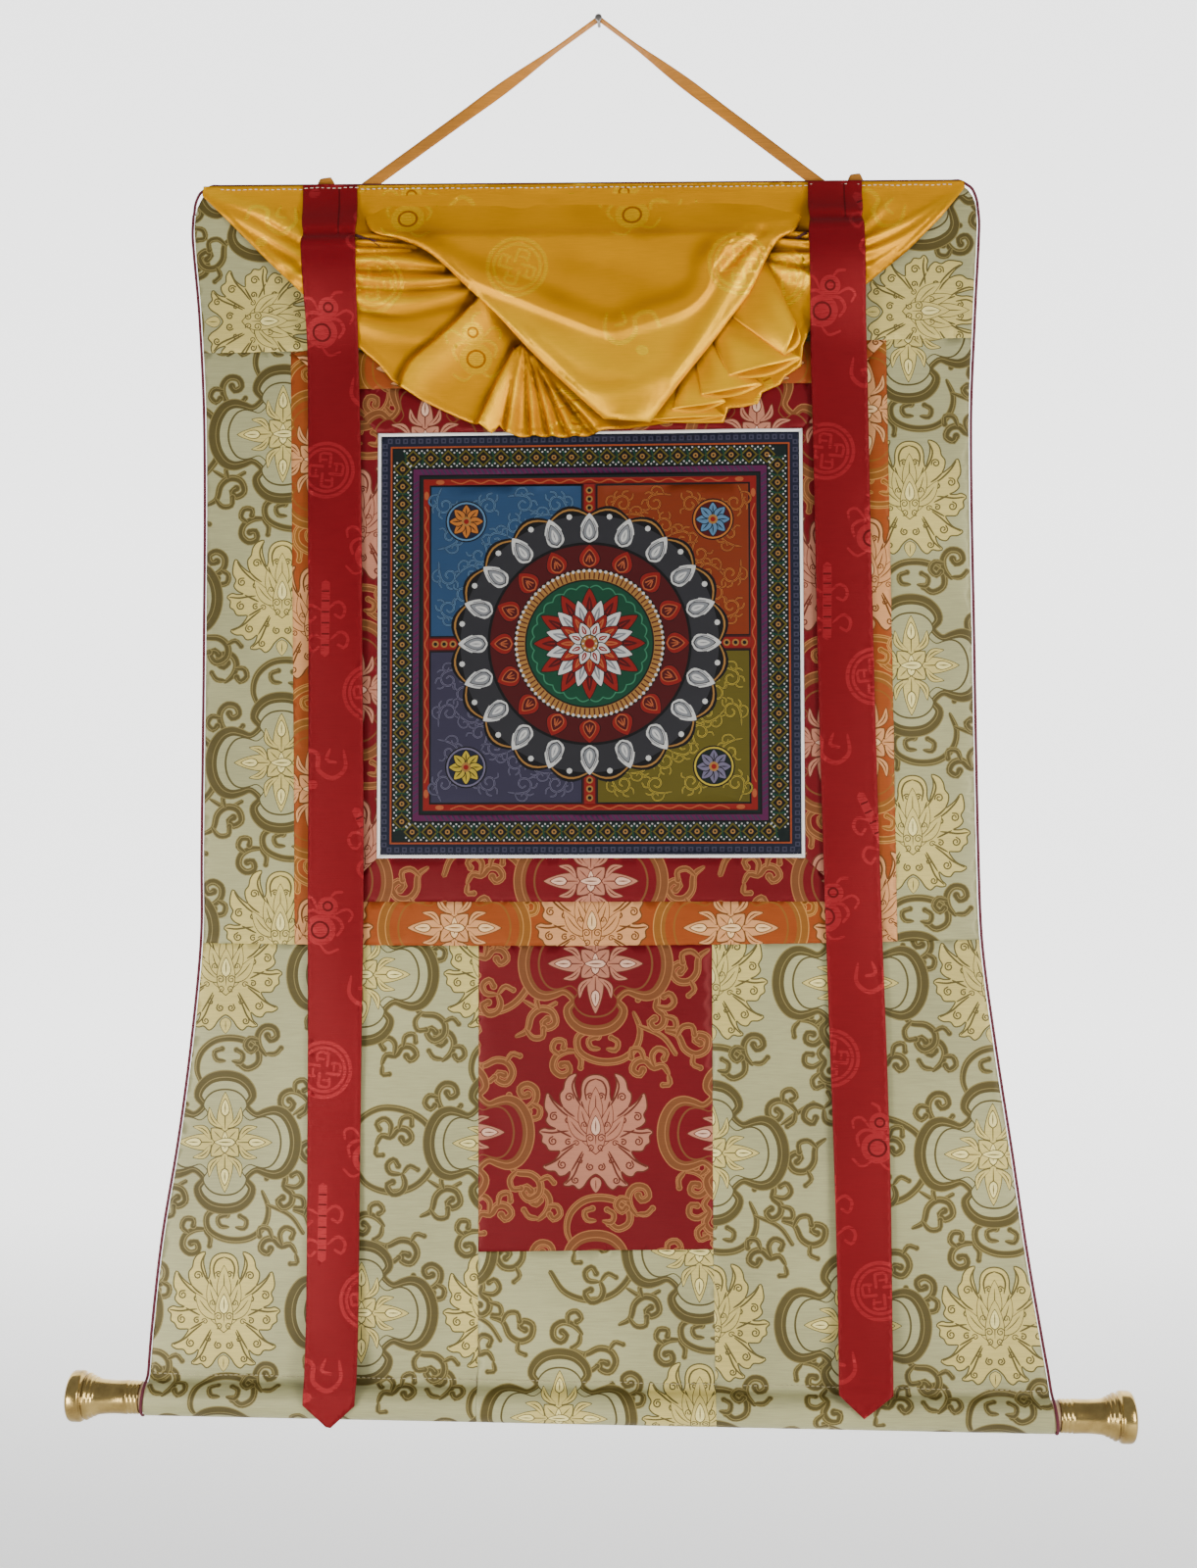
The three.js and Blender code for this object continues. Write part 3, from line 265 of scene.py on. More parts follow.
def make_thread_group():
    """Weft and warp threads at a pitch in metres, with slubs: a height and a shade from 0 to 1."""
    group, given, put = new_group("woven_threads", [("Pitch", "Float", 0.0008), ("Slub", "Float", 0.5)],
                                  [("Height", "Float"), ("Shade", "Float")])
    spot = node(group, "TexCoord").outputs["Object"]
    density = node(group, "Math", {0: math.tau, 1: given.outputs["Pitch"]}, operation="DIVIDE").outputs[0]
    scaled = node(group, "VectorMath", {0: spot, "Scale": density}, operation="SCALE")
    split = node(group, "SeparateXYZ", {0: scaled.outputs["Vector"]})
    warp = node(group, "Math", {0: split.outputs["X"]}, operation="SINE").outputs[0]
    weft = node(group, "Math", {0: split.outputs["Z"]}, operation="SINE").outputs[0]
    checks = node(group, "Math", {0: warp, 1: weft}, operation="MULTIPLY").outputs[0]
    long_threads = node(group, "Mapping", {"Vector": spot, "Scale": (60, 60, 1400)})
    slubs = node(group, "TexNoise", {"Vector": long_threads.outputs[0], "Scale": 1.0, "Detail": 2.0})
    slub_part = node(group, "Math", {0: slubs.outputs[0], 1: given.outputs["Slub"]}, operation="MULTIPLY")
    height = node(group, "Math", {0: checks, 1: 0.25, 2: slub_part.outputs[0]}, operation="MULTIPLY_ADD")
    group.links.new(height.outputs[0], put.inputs["Height"])
    group.links.new(slubs.outputs[0], put.inputs["Shade"])
    return group


woven_threads = make_thread_group()


def tinted(tree, colour, shade):
    shaded = node(tree, "Mix", {0: 1.0, 6: colour, 7: shade}, data_type="RGBA", blend_type="MULTIPLY")
    return shaded.outputs[2]


def weave_into(tree, cloth, colour, pitch, slub, patch_scale, patch_detail, vary, bump, depth):
    """Threads in a cloth: their shade and broad patches change its colour, their height its bump."""
    threads = node(tree, "Group", {"Pitch": pitch, "Slub": slub}, node_tree=woven_threads)
    spot = node(tree, "TexCoord").outputs["Object"]
    patches = node(tree, "TexNoise", {"Vector": spot, "Scale": patch_scale, "Detail": patch_detail})
    both = node(tree, "Math", {0: threads.outputs["Shade"], 1: patches.outputs[0]}, operation="ADD")
    shade = node(tree, "MapRange", {0: both.outputs[0], 1: 0.6, 2: 1.4, 3: 1 - vary, 4: 1 + vary})
    tree.links.new(tinted(tree, colour, shade.outputs[0]), cloth.inputs["Base Color"])
    relief = node(tree, "Bump", {"Height": threads.outputs["Height"], "Strength": bump, "Distance": depth})
    tree.links.new(relief.outputs[0], cloth.inputs["Normal"])
    return threads


def fabric(name, colour, pitch, slub, roughness, sheen, bump, vary):
    """Plain woven cloth of one colour, with threads in its bump and a little change of shade."""
    material, tree, cloth = new_finish(name, roughness=roughness, sheen_weight=sheen, sheen_roughness=0.4)
    weave_into(tree, cloth, (*colour, 1), pitch, slub, 9.0, 3.0, vary, bump, 0.0006)
    return material


gold_cloth = fabric("gold_tape_weave", (0.40, 0.150, 0.006), 0.0011, 0.7, 0.72, 0.0, 0.5, 0.3)
ABOVE_SHANK = NAIL_SHANK_RADIUS + 0.3 + TAPE_THICKNESS / 2
tape_top = np.array([NAIL_FOOT[0], -0.5 * NAIL_LENGTH - 1, NAIL_FOOT[2] + ABOVE_SHANK])


def tape_leg(foot_x, side):
    shoulder = tape_top + (side * 2.6, 0, -1.6)
    foot = np.array([foot_x, -TAPE_FOOT_DEPTH, top_edge(foot_x) - TAPE_HIDDEN])
    shares = 1 - (1 - np.linspace(0, 1, TAPE_LEG_STEPS + 1)) ** 1.5
    return foot + (shoulder - foot) * shares[:, None]


def make_tape():
    route = np.vstack([tape_leg(TAPE_FEET[0], -1), tape_top, tape_leg(TAPE_FEET[1], 1)[::-1]])
    middles = smooth_path(route, 4.0)
    along = unit(np.gradient(middles, axis=0))
    share = np.linspace(0, 1, len(middles))
    turned = smooth_step(np.abs(share - 0.5) * 2, 0.12, 0.55) * math.pi / 2
    flat_in_plane = unit(np.cross([0, -1.0, 0], along))
    across = np.cos(turned)[:, None] * np.array([0, -1.0, 0]) + np.sin(turned)[:, None] * flat_in_plane
    tape = strap("hanging_tape_woven", middles, across, TAPE_WIDTH, TAPE_THICKNESS, gold_cloth)
    dress(tape, "gold_tape", "hanging_tape")


def make_tape_folds():
    for name, fold_x, half_width in (("tape_fold_left", -243, 9), ("tape_fold_right", 243, 8)):
        angles = np.linspace(math.pi, 0, 12)
        rise = np.concatenate([np.linspace(0, 11, 8), 12 + 2 * np.sin(angles), np.linspace(11, 0, 8)])
        depth = -4.6 + 2.0 * np.concatenate([np.full(8, -1), np.cos(angles), np.full(8, 1)])
        middles = np.column_stack([np.full(28, fold_x), depth, top_edge(fold_x) - 5 + rise])
        across = np.tile([1.0, 0, 0.12], (28, 1))
        shares = 0.3 + 0.7 * np.sqrt(1 - (rise / 14.4) ** 2)
        fold = strap(name + "_woven", middles, across, 2 * half_width, 1.6, gold_cloth, 0.0, shares)
        dress(fold, "gold_tape", name)


make_tape()
make_tape_folds()

# Nail: a plain steel wire nail with a flat head, which stands out of the wall.
# It is turned from one profile, so its head has a soft rim.
NAIL_PROFILE = [(0, 0), (0, NAIL_SHANK_RADIUS), (NAIL_LENGTH, NAIL_SHANK_RADIUS), (NAIL_LENGTH, 2.7),
                (NAIL_LENGTH + 0.3, NAIL_HEAD_RADIUS), (NAIL_LENGTH + 1.2, NAIL_HEAD_RADIUS),
                (NAIL_LENGTH + NAIL_HEAD_THICKNESS, 2.6), (NAIL_LENGTH + NAIL_HEAD_THICKNESS, 0)]


def turned_solid(name, profile, start, axis, sides, material):
    """A solid of revolution from distances along its axis and radii, closed on the axis at both ends."""
    axis = unit(axis)
    side_a = unit(np.cross(axis, (0, 0, 1.0) if abs(axis[2]) < 0.9 else (0, 1.0, 0)))
    side_b = np.cross(axis, side_a)
    angles = np.linspace(0, math.tau, sides, endpoint=False)
    around = np.cos(angles)[:, None] * side_a + np.sin(angles)[:, None] * side_b
    inner = [row for row in profile if row[1] > 0]
    points = [np.array(start) + axis * along + around * radius for along, radius in inner]
    ends = [np.array(start) + axis * profile[end][0] for end in (0, -1)]
    points = np.vstack([*points, *ends])
    faces = tube_faces(len(inner), sides)[:-2]
    first_tip, last_tip = len(points) - 2, len(points) - 1
    last_ring = (len(inner) - 1) * sides
    for side in range(sides):
        after = (side + 1) % sides
        faces.append((after, side, first_tip))
        faces.append((last_ring + side, last_ring + after, last_tip))
    return add_mesh(name, points, faces, material)


def metal(name, colour, roughness, grime):
    """Worn metal: dull stains by noise, and fine turned lines in its bump."""
    material, tree, surface = new_finish(name, metallic=1.0)
    spot = node(tree, "TexCoord").outputs["Object"]
    stains = node(tree, "TexNoise", {"Vector": spot, "Scale": 60.0, "Detail": 5.0})
    amount = node(tree, "MapRange", {0: stains.outputs[0], 1: 0.35, 2: 0.7, 3: 0.0, 4: 1.0})
    dull = node(tree, "Mix", {0: amount.outputs[0], 6: (*colour, 1), 7: (*grime, 1)}, data_type="RGBA")
    tree.links.new(dull.outputs[2], surface.inputs["Base Color"])
    rough = node(tree, "MapRange", {0: amount.outputs[0], 3: roughness, 4: roughness + 0.16})
    tree.links.new(rough.outputs[0], surface.inputs["Roughness"])
    lines = node(tree, "Mapping", {"Vector": spot, "Scale": (2400, 90, 90)})
    scratch = node(tree, "TexNoise", {"Vector": lines.outputs[0], "Scale": 1.0, "Detail": 2.0})
    relief = node(tree, "Bump", {"Height": scratch.outputs[0], "Strength": 0.12, "Distance": 0.0003})
    tree.links.new(relief.outputs[0], surface.inputs["Normal"])
    return material


nail_steel = metal("dull_steel", (0.33, 0.31, 0.29), 0.38, (0.16, 0.14, 0.12))
nail_start = NAIL_FOOT * (1, 0, 1)
nail = turned_solid("steel_nail", NAIL_PROFILE, nail_start, (0, -1.0, 0), 32, nail_steel)
dress(nail, "nail_steel", "nail")

# Brocade panels: silk with woven lotus blossoms, cloud collars and scrolling vines. The pale
# cloth makes the heading, the side strips and the skirt, and two darker cloths the borders and
# the door. Every panel is cut flat, lined with crimson cotton and sewn edge to edge.
CLOTH_THICKNESS, SEAM_GAP = 2.4, 0.3
PIPING_RADIUS = 1.3
CORNER_LIFT = 4
SIDE_HEIGHTS = [422, 418.5, 411, 398, 378, 300, 200, 0, -200, -270, -360, -450, -540, -620, -660, -700]
LEFT_EDGE = [-351, -359, -364, -367, -368, -361, -356, -354.5, -354.5, -354.5,
             -362.5, -374, -388.5, -397, -400, -403.5]
RIGHT_EDGE = [339, 346.5, 351.5, 354.5, 355, 350.5, 346, 347, 348.5, 351, 362, 375, 387.5, 400.5, 407, 411]
# Height, length across, length downwards and phase of each wave of the hanging cloth.
CLOTH_WAVES = [(1.3, 330, 900, 0.1), (0.7, 190, -650, 0.35)]
TOP_DEPTH, BOTTOM_DEPTH, HEM_FOLD_HEIGHT = 9, 24, -661
SLEEVE_RADIUS, SLEEVE_FILLET = 15.8, 5
WEAVE_TILE = (249, 302)
ORANGE_CORNERS = {"top_left": -274.4, "top_right": 269.3, "bottom_left": -268, "bottom_right": 274.7}
RED_FRAME = (-233.5, 233.5, 235.5, -233.5)
PAINTING = (-190, 190, 191, -191)
COTTON_WIDTH = 3.2
DOOR = {"left": -100.5, "right": 109.5, "left_foot": -546.3, "right_foot": -542.2}
FOOT_PANEL = {"left": -101, "right": 111.5, "height": -700}


def smooth_curve(keys, values):
    """A smooth curve through rows of a table, flat beyond its ends."""
    keys, values = np.asarray(keys, float), np.asarray(values, float)
    if keys[0] > keys[-1]:
        keys, values = keys[::-1], values[::-1]
    first = np.concatenate([[0], np.arange(len(keys) - 2), [len(keys) - 2]])
    last = np.concatenate([[1], np.arange(2, len(keys)), [len(keys) - 1]])
    slopes = (values[last] - values[first]) / (keys[last] - keys[first])

    def value(wanted):
        wanted = np.asarray(wanted, float)
        row = np.clip(np.searchsorted(keys, wanted, side="right") - 1, 0, len(keys) - 2)
        span = keys[row + 1] - keys[row]
        share = np.clip((wanted - keys[row]) / span, 0, 1)
        square, cube = share ** 2, share ** 3
        return ((2 * cube - 3 * square + 1) * values[row] + (cube - 2 * square + share) * span * slopes[row]
                + (3 * square - 2 * cube) * values[row + 1] + (cube - square) * span * slopes[row + 1])
    return value


left_curve, right_curve = smooth_curve(SIDE_HEIGHTS, LEFT_EDGE), smooth_curve(SIDE_HEIGHTS, RIGHT_EDGE)


def left_edge(z):
    return left_curve(np.asarray(z, float) - CORNER_LIFT)


def right_edge(z):
    return right_curve(np.asarray(z, float) + CORNER_LIFT)


def top_seam(x):
    return 273 + 0.0055 * np.asarray(x, float)


def waist_seam(x):
    x = np.asarray(x, float)
    return -273 + 0.005 * x + 0.000033 * x * x


def dowel_height(x):
    return -681.3 - 0.008 * np.asarray(x, float)


def cloth_depth(x, z):
    """Middle of the hanging cloth, which leans out towards the hem and waves a little."""
    down = np.clip((TOP_HEIGHT - z) / (TOP_HEIGHT - HEM_FOLD_HEIGHT), 0, 1)
    wave = sum(height * np.sin(math.tau * (x / across + z / lengthwise + phase))
               for height, across, lengthwise, phase in CLOTH_WAVES)
    return wave * np.sin(math.pi * down) - (TOP_DEPTH + (BOTTOM_DEPTH - TOP_DEPTH) * down)


def straight(x1, z1, x2, z2):
    """The straight seam through two points, as X from height."""
    return lambda z: x1 + (np.asarray(z, float) - z1) * (x2 - x1) / (z2 - z1)


def level(x1, z1, x2, z2):
    """The straight seam through two points, as height from X."""
    return lambda x: z1 + (np.asarray(x, float) - x1) * (z2 - z1) / (x2 - x1)


def steady(value):
    """A seam at one place all along."""
    return lambda key: np.asarray(key, float) * 0 + value


def meeting(side, end):
    """Where a side curve crosses an end curve."""
    z = float(end(0.0))
    for _ in range(8):
        x = float(side(z))
        z = float(end(x))
    return x, z


def panel_outline(left, right, top, bottom, step=6.0, inset=-0.08):
    """Outline of a panel between two side curves and two end curves, drawn anticlockwise."""
    (x_bl, z_bl), (x_br, z_br) = meeting(left, bottom), meeting(right, bottom)
    (x_tr, z_tr), (x_tl, z_tl) = meeting(right, top), meeting(left, top)

    def run(start, stop):
        return np.linspace(start, stop, max(2, int(abs(stop - start) / step) + 1))
    foot, riser, head, fall = run(x_bl, x_br), run(z_br, z_tr), run(x_tr, x_tl), run(z_tl, z_bl)
    return np.vstack([
        np.column_stack([foot, bottom(foot) + inset])[1:-1],
        np.column_stack([right(riser) - inset, np.clip(riser, z_br + inset, z_tr - inset)]),
        np.column_stack([head, top(head) - inset])[1:-1],
        np.column_stack([left(fall) + inset, np.clip(fall, z_bl + inset, z_tl - inset)]),
    ])


def winding(polygon, spots):
    """How many times a polygon winds round each spot."""
    turns = np.zeros(len(spots), int)
    x1, z1 = (column[:, None] for column in polygon.T)
    x2, z2 = (column[:, None] for column in np.roll(polygon, -1, axis=0).T)
    chunk = max(1, 1500000 // len(polygon))
    for start in range(0, len(spots), chunk):
        x, z = spots[start:start + chunk].T
        side = (x2 - x1) * (z - z1) - (x - x1) * (z2 - z1)
        up = (z1 <= z) & (z2 > z) & (side > 0)
        down = (z1 > z) & (z2 <= z) & (side < 0)
        turns[start:start + chunk] = up.sum(axis=0) - down.sum(axis=0)
    return turns


def inlay(outline, figures, inner_points):
    """Triangles of an outline, cut along the edge of every figure; a triangle takes the tone of
    the last figure over it. Figures are pairs of a polygon and a tone, in painting order."""
    low, high = outline.min(0), outline.max(0)
    near = [(polygon, tone) for polygon, tone in figures
            if (polygon.max(0) > low).all() and (polygon.min(0) < high).all()]
    inside = winding(outline, inner_points) != 0
    loops = [outline] + [polygon for polygon, _ in near]
    points, edges, start = [], [], 0
    for loop in loops:
        count = len(loop)
        points.append(loop)
        edges.extend((start + index, start + (index + 1) % count) for index in range(count))
        start += count
    points.append(inner_points[inside])
    coordinates = [Vector(point) for point in np.vstack(points).tolist()]
    spots, _, triangles, *_ = delaunay_2d_cdt(coordinates, edges, [], 0, 1e-4, False)
    spots = np.array([tuple(spot) for spot in spots])
    triangles = np.array([tuple(face) for face in triangles])
    first, second, third = (spots[triangles[:, corner]] for corner in range(3))
    area = np.cross(second - first, third - first)
    triangles = triangles[np.abs(area) > 1e-7]
    centres = spots[triangles].mean(axis=1)
    kept = winding(outline, centres) != 0
    triangles, centres = triangles[kept], centres[kept]
    tones = np.zeros(len(triangles), int)
    order = np.argsort(centres[:, 0])
    sorted_x = centres[order, 0]
    for polygon, tone in near:
        low, high = polygon.min(0), polygon.max(0)
        close = order[np.searchsorted(sorted_x, low[0]):np.searchsorted(sorted_x, high[0])]
        heights = centres[close, 1]
        close = close[(heights >= low[1]) & (heights <= high[1])]
        if len(close):
            tones[close[winding(polygon, centres[close]) != 0]] = tone
    used, triangles = np.unique(triangles, return_inverse=True)
    return spots[used], triangles.reshape(-1, 3), tones


def grid_points(outline, step_x, step_z, low_z=None, high_z=None):
    """Even points over the box of an outline, every second row shifted by half a step."""
    low, high = outline.min(0), outline.max(0)
    low_z = low[1] if low_z is None else low_z
    high_z = high[1] if high_z is None else high_z
    rows = np.arange(low_z + step_z / 2, high_z, step_z)
    columns = np.arange(low[0] + step_x / 2, high[0], step_x)
    points = [(x + (step_x / 4 if index % 2 else -step_x / 4), z)
              for index, z in enumerate(rows) for x in columns]
    return np.array(points).reshape(-1, 2)


def edge_distance(outline, spots):
    """Distance of each spot from the nearest side of an outline."""
    nearest = np.full(len(spots), 1e9)
    for start, end in zip(outline, np.roll(outline, -1, axis=0)):
        run = end - start
        share = np.clip((spots - start) @ run / max(run @ run, 1e-9), 0, 1)
        nearest = np.minimum(nearest, np.linalg.norm(spots - start - share[:, None] * run, axis=1))
    return nearest


def wide_triangles(spots, rim, spacing=9.0):
    """Points and triangles for a plain back: all of the rim, and one point a cell inside it."""
    _, inner = np.unique(np.floor(spots / spacing), axis=0, return_index=True)
    edge = np.unique(rim)
    chosen = np.concatenate([edge, np.setdiff1d(inner, edge)])
    renumbered = np.zeros(len(spots), int)
    renumbered[chosen] = np.arange(len(chosen))
    corners = [Vector(spot) for spot in spots[chosen].tolist()]
    _, _, triangles, origins, *_ = delaunay_2d_cdt(corners, renumbered[rim].tolist(), [], 0, 1e-6, True)
    origins = np.array([origin[0] for origin in origins])
    triangles = origins[np.array([tuple(face) for face in triangles])]
    after = dict(rim.tolist())
    loop = [int(rim[0, 0])]
    while after[loop[-1]] != loop[0]:
        loop.append(after[loop[-1]])
    return chosen, renumbered, triangles[winding(spots[loop], spots[chosen][triangles].mean(axis=1)) != 0]


def lined_sheet(name, fronts, backs, triangles, tones, material, spots=None, lining=None):
    """A closed sheet from front points, back points behind them, and the front's triangles. With a
    lining its back is plain, and takes only the points that it needs."""
    count = len(fronts)
    sides = np.vstack([triangles[:, [0, 1]], triangles[:, [1, 2]], triangles[:, [2, 0]]])
    keys = np.sort(sides, axis=1) @ np.array([count, 1])
    _, first, repeats = np.unique(keys, return_index=True, return_counts=True)
    rim = sides[first[repeats == 1]]
    renumbered, behind, back_tones = np.arange(count), triangles, tones
    if lining:
        chosen, renumbered, behind = wide_triangles(spots, rim)
        backs, back_tones = backs[chosen], np.zeros(len(behind), int)
    rim_backs = renumbered[rim] + count
    rim_faces = np.column_stack([rim[:, ::-1], rim_backs])
    faces = triangles.tolist() + (behind[:, ::-1] + count).tolist() + rim_faces.tolist()
    piece = add_mesh(name, np.vstack([fronts, backs]), faces, material)
    tones = np.concatenate([tones, back_tones, np.zeros(len(rim), int)])
    piece.data.attributes.new("tone", "FLOAT", "FACE").data.foreach_set("value", tones.astype(np.float32))
    order = np.arange(len(faces))
    piece.data.polygons.foreach_set("use_smooth", order < len(faces) - len(rim))
    if lining:
        piece.data.materials.append(lining)
        piece.data.polygons.foreach_set("material_index", (order >= len(triangles)).astype(np.int32))
    return piece


# Drawing of the weave: every line is a stroke of changing width along given points.
# Tones: 1 vine, 2 light thread on the vine, 3 blossom, 4 blossom outline, 5 bright thread; 2 and 5 are pale
# threads and partly painted highlight.
VINE, VINE_LIGHT, BLOSSOM, OUTLINE, BRIGHT = 1, 2, 3, 4, 5
THREAD_EDGE = 0.85


def stroke(points, width, taper=(0.35, 0.8), step=2.6, shift=0.0):
    """A stroke with round ends whose width swells between two tapers; a shift moves it sideways."""
    path = smooth_path(points, step)
    along = unit(np.gradient(path, axis=0))
    sideways = np.column_stack([-along[:, 1], along[:, 0]])
    share = np.linspace(0, 1, len(path))
    swell = np.sin(math.pi * np.clip(share, 0, 1)) ** 0.5
    ends = taper[0] + (taper[1] - taper[0]) * share
    half = width / 2 * (ends + (1 - ends) * swell)
    path = path + sideways * (shift * half)[:, None]
    left, right = path + sideways * half[:, None], path - sideways * half[:, None]
    nose = path[-1] + along[-1] * half[-1] * 0.7
    tail = path[0] - along[0] * half[0] * 0.7
    return np.vstack([left, nose, right[::-1], tail])


def vine(points, width, taper=(0.4, 0.9), bulb=0.54):
    """A vine stroke: a pale outline, the dark band and a pale line off its middle to one side, which are
    woven threads and also a painted highlight on the raised vine. It ends in a round bulb, unless the vine
    runs on."""
    bulb_edge, bulb_heart = [], []
    if bulb:
        outer, inner = width * bulb, width * bulb - THREAD_EDGE
        bulb_edge = disc(*points[-1], outer, outer, VINE_LIGHT, 12)
        bulb_heart = disc(*points[-1], inner, inner, VINE, 12)
    return [(stroke(points, width, taper), VINE_LIGHT), *bulb_edge,
            (stroke(points, width - 2 * THREAD_EDGE, taper), VINE), *bulb_heart,
            (stroke(points, width * 0.16, (0.5, 0.6), step=3.2, shift=2.2), VINE_LIGHT)]


def ring_band(points, width, tone, light=0.0):
    """A closed band along points, as an outer and an inner figure; light threads edge it."""
    path = smooth_path(points, 2.4, closed=True)
    along = unit(np.roll(path, -1, axis=0) - np.roll(path, 1, axis=0))
    outward = np.column_stack([along[:, 1], -along[:, 0]])
    centre = path.mean(0)
    reach = np.linalg.norm(path - centre, axis=1)
    lobe = (reach - reach.min()) / (reach.max() - reach.min())
    half = width / 2 * (0.6 + 0.55 * lobe)[:, None]
    figures = [(path + outward * half, VINE_LIGHT if light else tone)]
    if light:
        figures.append((path + outward * (half - light), tone))
        figures.append((path - outward * (half * 0.25), VINE_LIGHT))
        figures.append((path - outward * (half * 0.25 + light * 0.8), tone))
    figures.append((path - outward * half, 0))
    return figures


def petal(base, tip, width, bend=0.0, tone=BLOSSOM, line=OUTLINE, point=1.0):
    """A pointed petal with its woven outline and a vein."""
    base, tip = np.asarray(base, float), np.asarray(tip, float)
    run = tip - base
    length = np.linalg.norm(run)
    sideways = np.array([-run[1], run[0]]) / length
    share = np.linspace(0, 1, 11)
    middle = base + run * share[:, None] + sideways * (bend * length * np.sin(math.pi * share))[:, None]
    middle = middle + sideways * (bend * length * 0.9 * share ** 3)[:, None]

    def shape(half_width, extra):
        half = half_width * np.sin(math.pi * share ** 0.8) ** 0.75 * (1 - 0.25 * share) + 0.3
        half = half[:, None] * sideways
        stretched = middle + run / length * (extra * (2 * share - 1) * point)[:, None]
        return np.vstack([stretched + half, (stretched - half)[::-1]])
    vein = stroke([middle[2], middle[5], middle[8]], 1.1, (0.4, 0.3), step=4)
    return [(shape(width / 2 + 0.9, 1.2), line), (shape(width / 2, 0), tone), (vein, line)]


def spiral(x, z, radius, start, turns, width):
    """A small woven spiral line that winds inwards; the turns may be negative."""
    share = np.linspace(0, 1, 9)
    angle = math.radians(start) + math.tau * turns * share
    reach = radius * (1 - 0.72 * share)
    points = np.column_stack([x + reach * np.cos(angle), z + reach * np.sin(angle)])
    return [(stroke(points, width, (0.9, 0.9), step=2.0), OUTLINE)]


def disc(x, z, wide, tall, tone, count=20):
    angles = np.linspace(0, math.tau, count, endpoint=False)
    return [(np.column_stack([x + wide * np.cos(angles), z + tall * np.sin(angles)]), tone)]


def mirrored(figures):
    return figures + [(polygon[::-1] * (-1, 1), tone) for polygon, tone in figures]


def moved(figures, x=0.0, z=0.0, turn=0.0, flip=False, scale=1.0):
    """Figures turned by degrees, scaled, perhaps flipped, and set at a place."""
    angle = math.radians(turn)
    spin = np.array([[math.cos(angle), math.sin(angle)], [-math.sin(angle), math.cos(angle)]])
    side = np.array([-1.0 if flip else 1.0, 1.0])
    return [((polygon * side * scale) @ spin + (x, z), tone) for polygon, tone in figures]


# The right half of a blossom's edge, the lines in its petals, and the curls: place, radius, angle
# of the start and turns. An inner petal has its base, tip, width and bend.
LOTUS_EDGE = [
    (0, 57), (7, 55.5), (12, 51), (14, 44), (14, 37), (16, 31), (18.5, 38), (20.5, 46), (20.5, 52),
    (19, 58), (26, 55.5), (30, 50), (31.5, 43), (35, 38), (34.5, 31), (32, 25), (37, 28), (42, 32.5),
    (47.5, 39), (50, 31), (50, 24), (47, 18), (49, 12), (45, 7), (39, 4), (46, 3.5), (51, 4.5), (56, 1),
    (52.5, -3), (53, -9), (49, -12), (46, -17), (40, -17.5), (35, -18), (39, -25), (44, -29.5),
    (52, -33), (47, -37), (40, -37.5), (36, -42), (30, -41), (25, -37), (27, -45), (32, -50.5),
    (27, -52), (22, -51), (17, -55), (12, -52), (8, -46), (4, -42), (0, -40),
]
LOTUS_LINES = [
    [(9, 32), (10.5, 42), (7, 50), (0, 53)], [(20, 55), (23, 46), (20, 36), (14, 26)],
    [(46, 36.5), (41, 29), (32, 20), (23, 14)], [(54, 1), (44, 0), (36, 1), (27, 2)],
    [(50, -33), (39, -27), (31, -20), (22, -13)], [(30, -50), (22, -42), (17, -31), (12, -20)],
    [(14, 31), (12, 24), (10, 18)], [(33, 26), (27, 20), (21, 16)], [(38, 3), (30, -1), (24, -4)],
    [(34, -18), (27, -14), (20, -10)], [(24, -37), (18, -27), (13, -18)],
]
LOTUS_CURLS = [
    (5.5, 36, 3.4, 20, 1.3), (26, 35, 4.6, 200, -1.4), (41, 16, 4.6, 120, -1.4), (42, -8, 4.6, 90, -1.4),
    (33, -31, 4.6, 60, -1.4), (20, -46, 3.8, 40, -1.3), (5.5, -33, 4.0, 60, -1.4), (27, 12, 3.6, 150, -1.2),
    (27, -9, 3.4, 120, -1.2), (15, -27, 3.2, 90, -1.2),
]
LOTUS_HEART_CURLS = [(5.5, -5, 4.2, 20, 1.3), (5, -14, 3.6, 300, -1.3), (11, 8, 3.4, 330, 1.2),
                     (19, -10, 3.2, 20, 1.2)]
LOTUS_INNER_PETALS = [((5, -12), (29, 7), 12, 0.16), ((5, -7), (25, 19), 13, -0.12),
                      ((4, -2), (13, 28), 12, -0.08)]


def widened(polygon, amount):
    """A polygon, drawn anticlockwise, with its sides moved outwards."""
    along = unit(np.roll(polygon, -1, axis=0) - np.roll(polygon, 1, axis=0))
    return polygon + np.column_stack([along[:, 1], -along[:, 0]]) * amount


def draw_lotus():
    """A lotus seen from the side, about 112 mm across: flame-shaped petals round a seeded heart."""
    half = np.array(LOTUS_EDGE, float)
    whole = smooth_path(np.vstack([half, (half * (-1, 1))[-2:0:-1]]), 1.8, closed=True)[::-1]
    figures = [(widened(whole, 0.9), OUTLINE), (widened(whole, -0.5), BLOSSOM)]
    for line in LOTUS_LINES:
        figures += mirrored([(stroke(line, 1.9, (0.5, 0.5)), OUTLINE)])
    for curl in LOTUS_CURLS:
        figures += mirrored(spiral(*curl, 1.5))
    figures += petal((0, 8), (0, 44), 14) + petal((0, -43), (0, -58), 11, point=0.6)
    for base, tip, width, bend in LOTUS_INNER_PETALS:
        figures += mirrored(petal(base, tip, width, bend))
    figures += petal((0, -20), (0, 25), 19) + petal((0, -2), (0, 16), 9, tone=BRIGHT)
    for curl in LOTUS_HEART_CURLS:
        figures += mirrored(spiral(*curl, 1.1))
    return figures


COLLAR_QUARTER = [(0, 60), (13, 57.5), (22, 50), (25, 41), (20, 33.5), (23, 28.5), (29, 25),
                  (37, 27.5), (46, 29), (55, 25), (62, 14), (64.5, 0)]


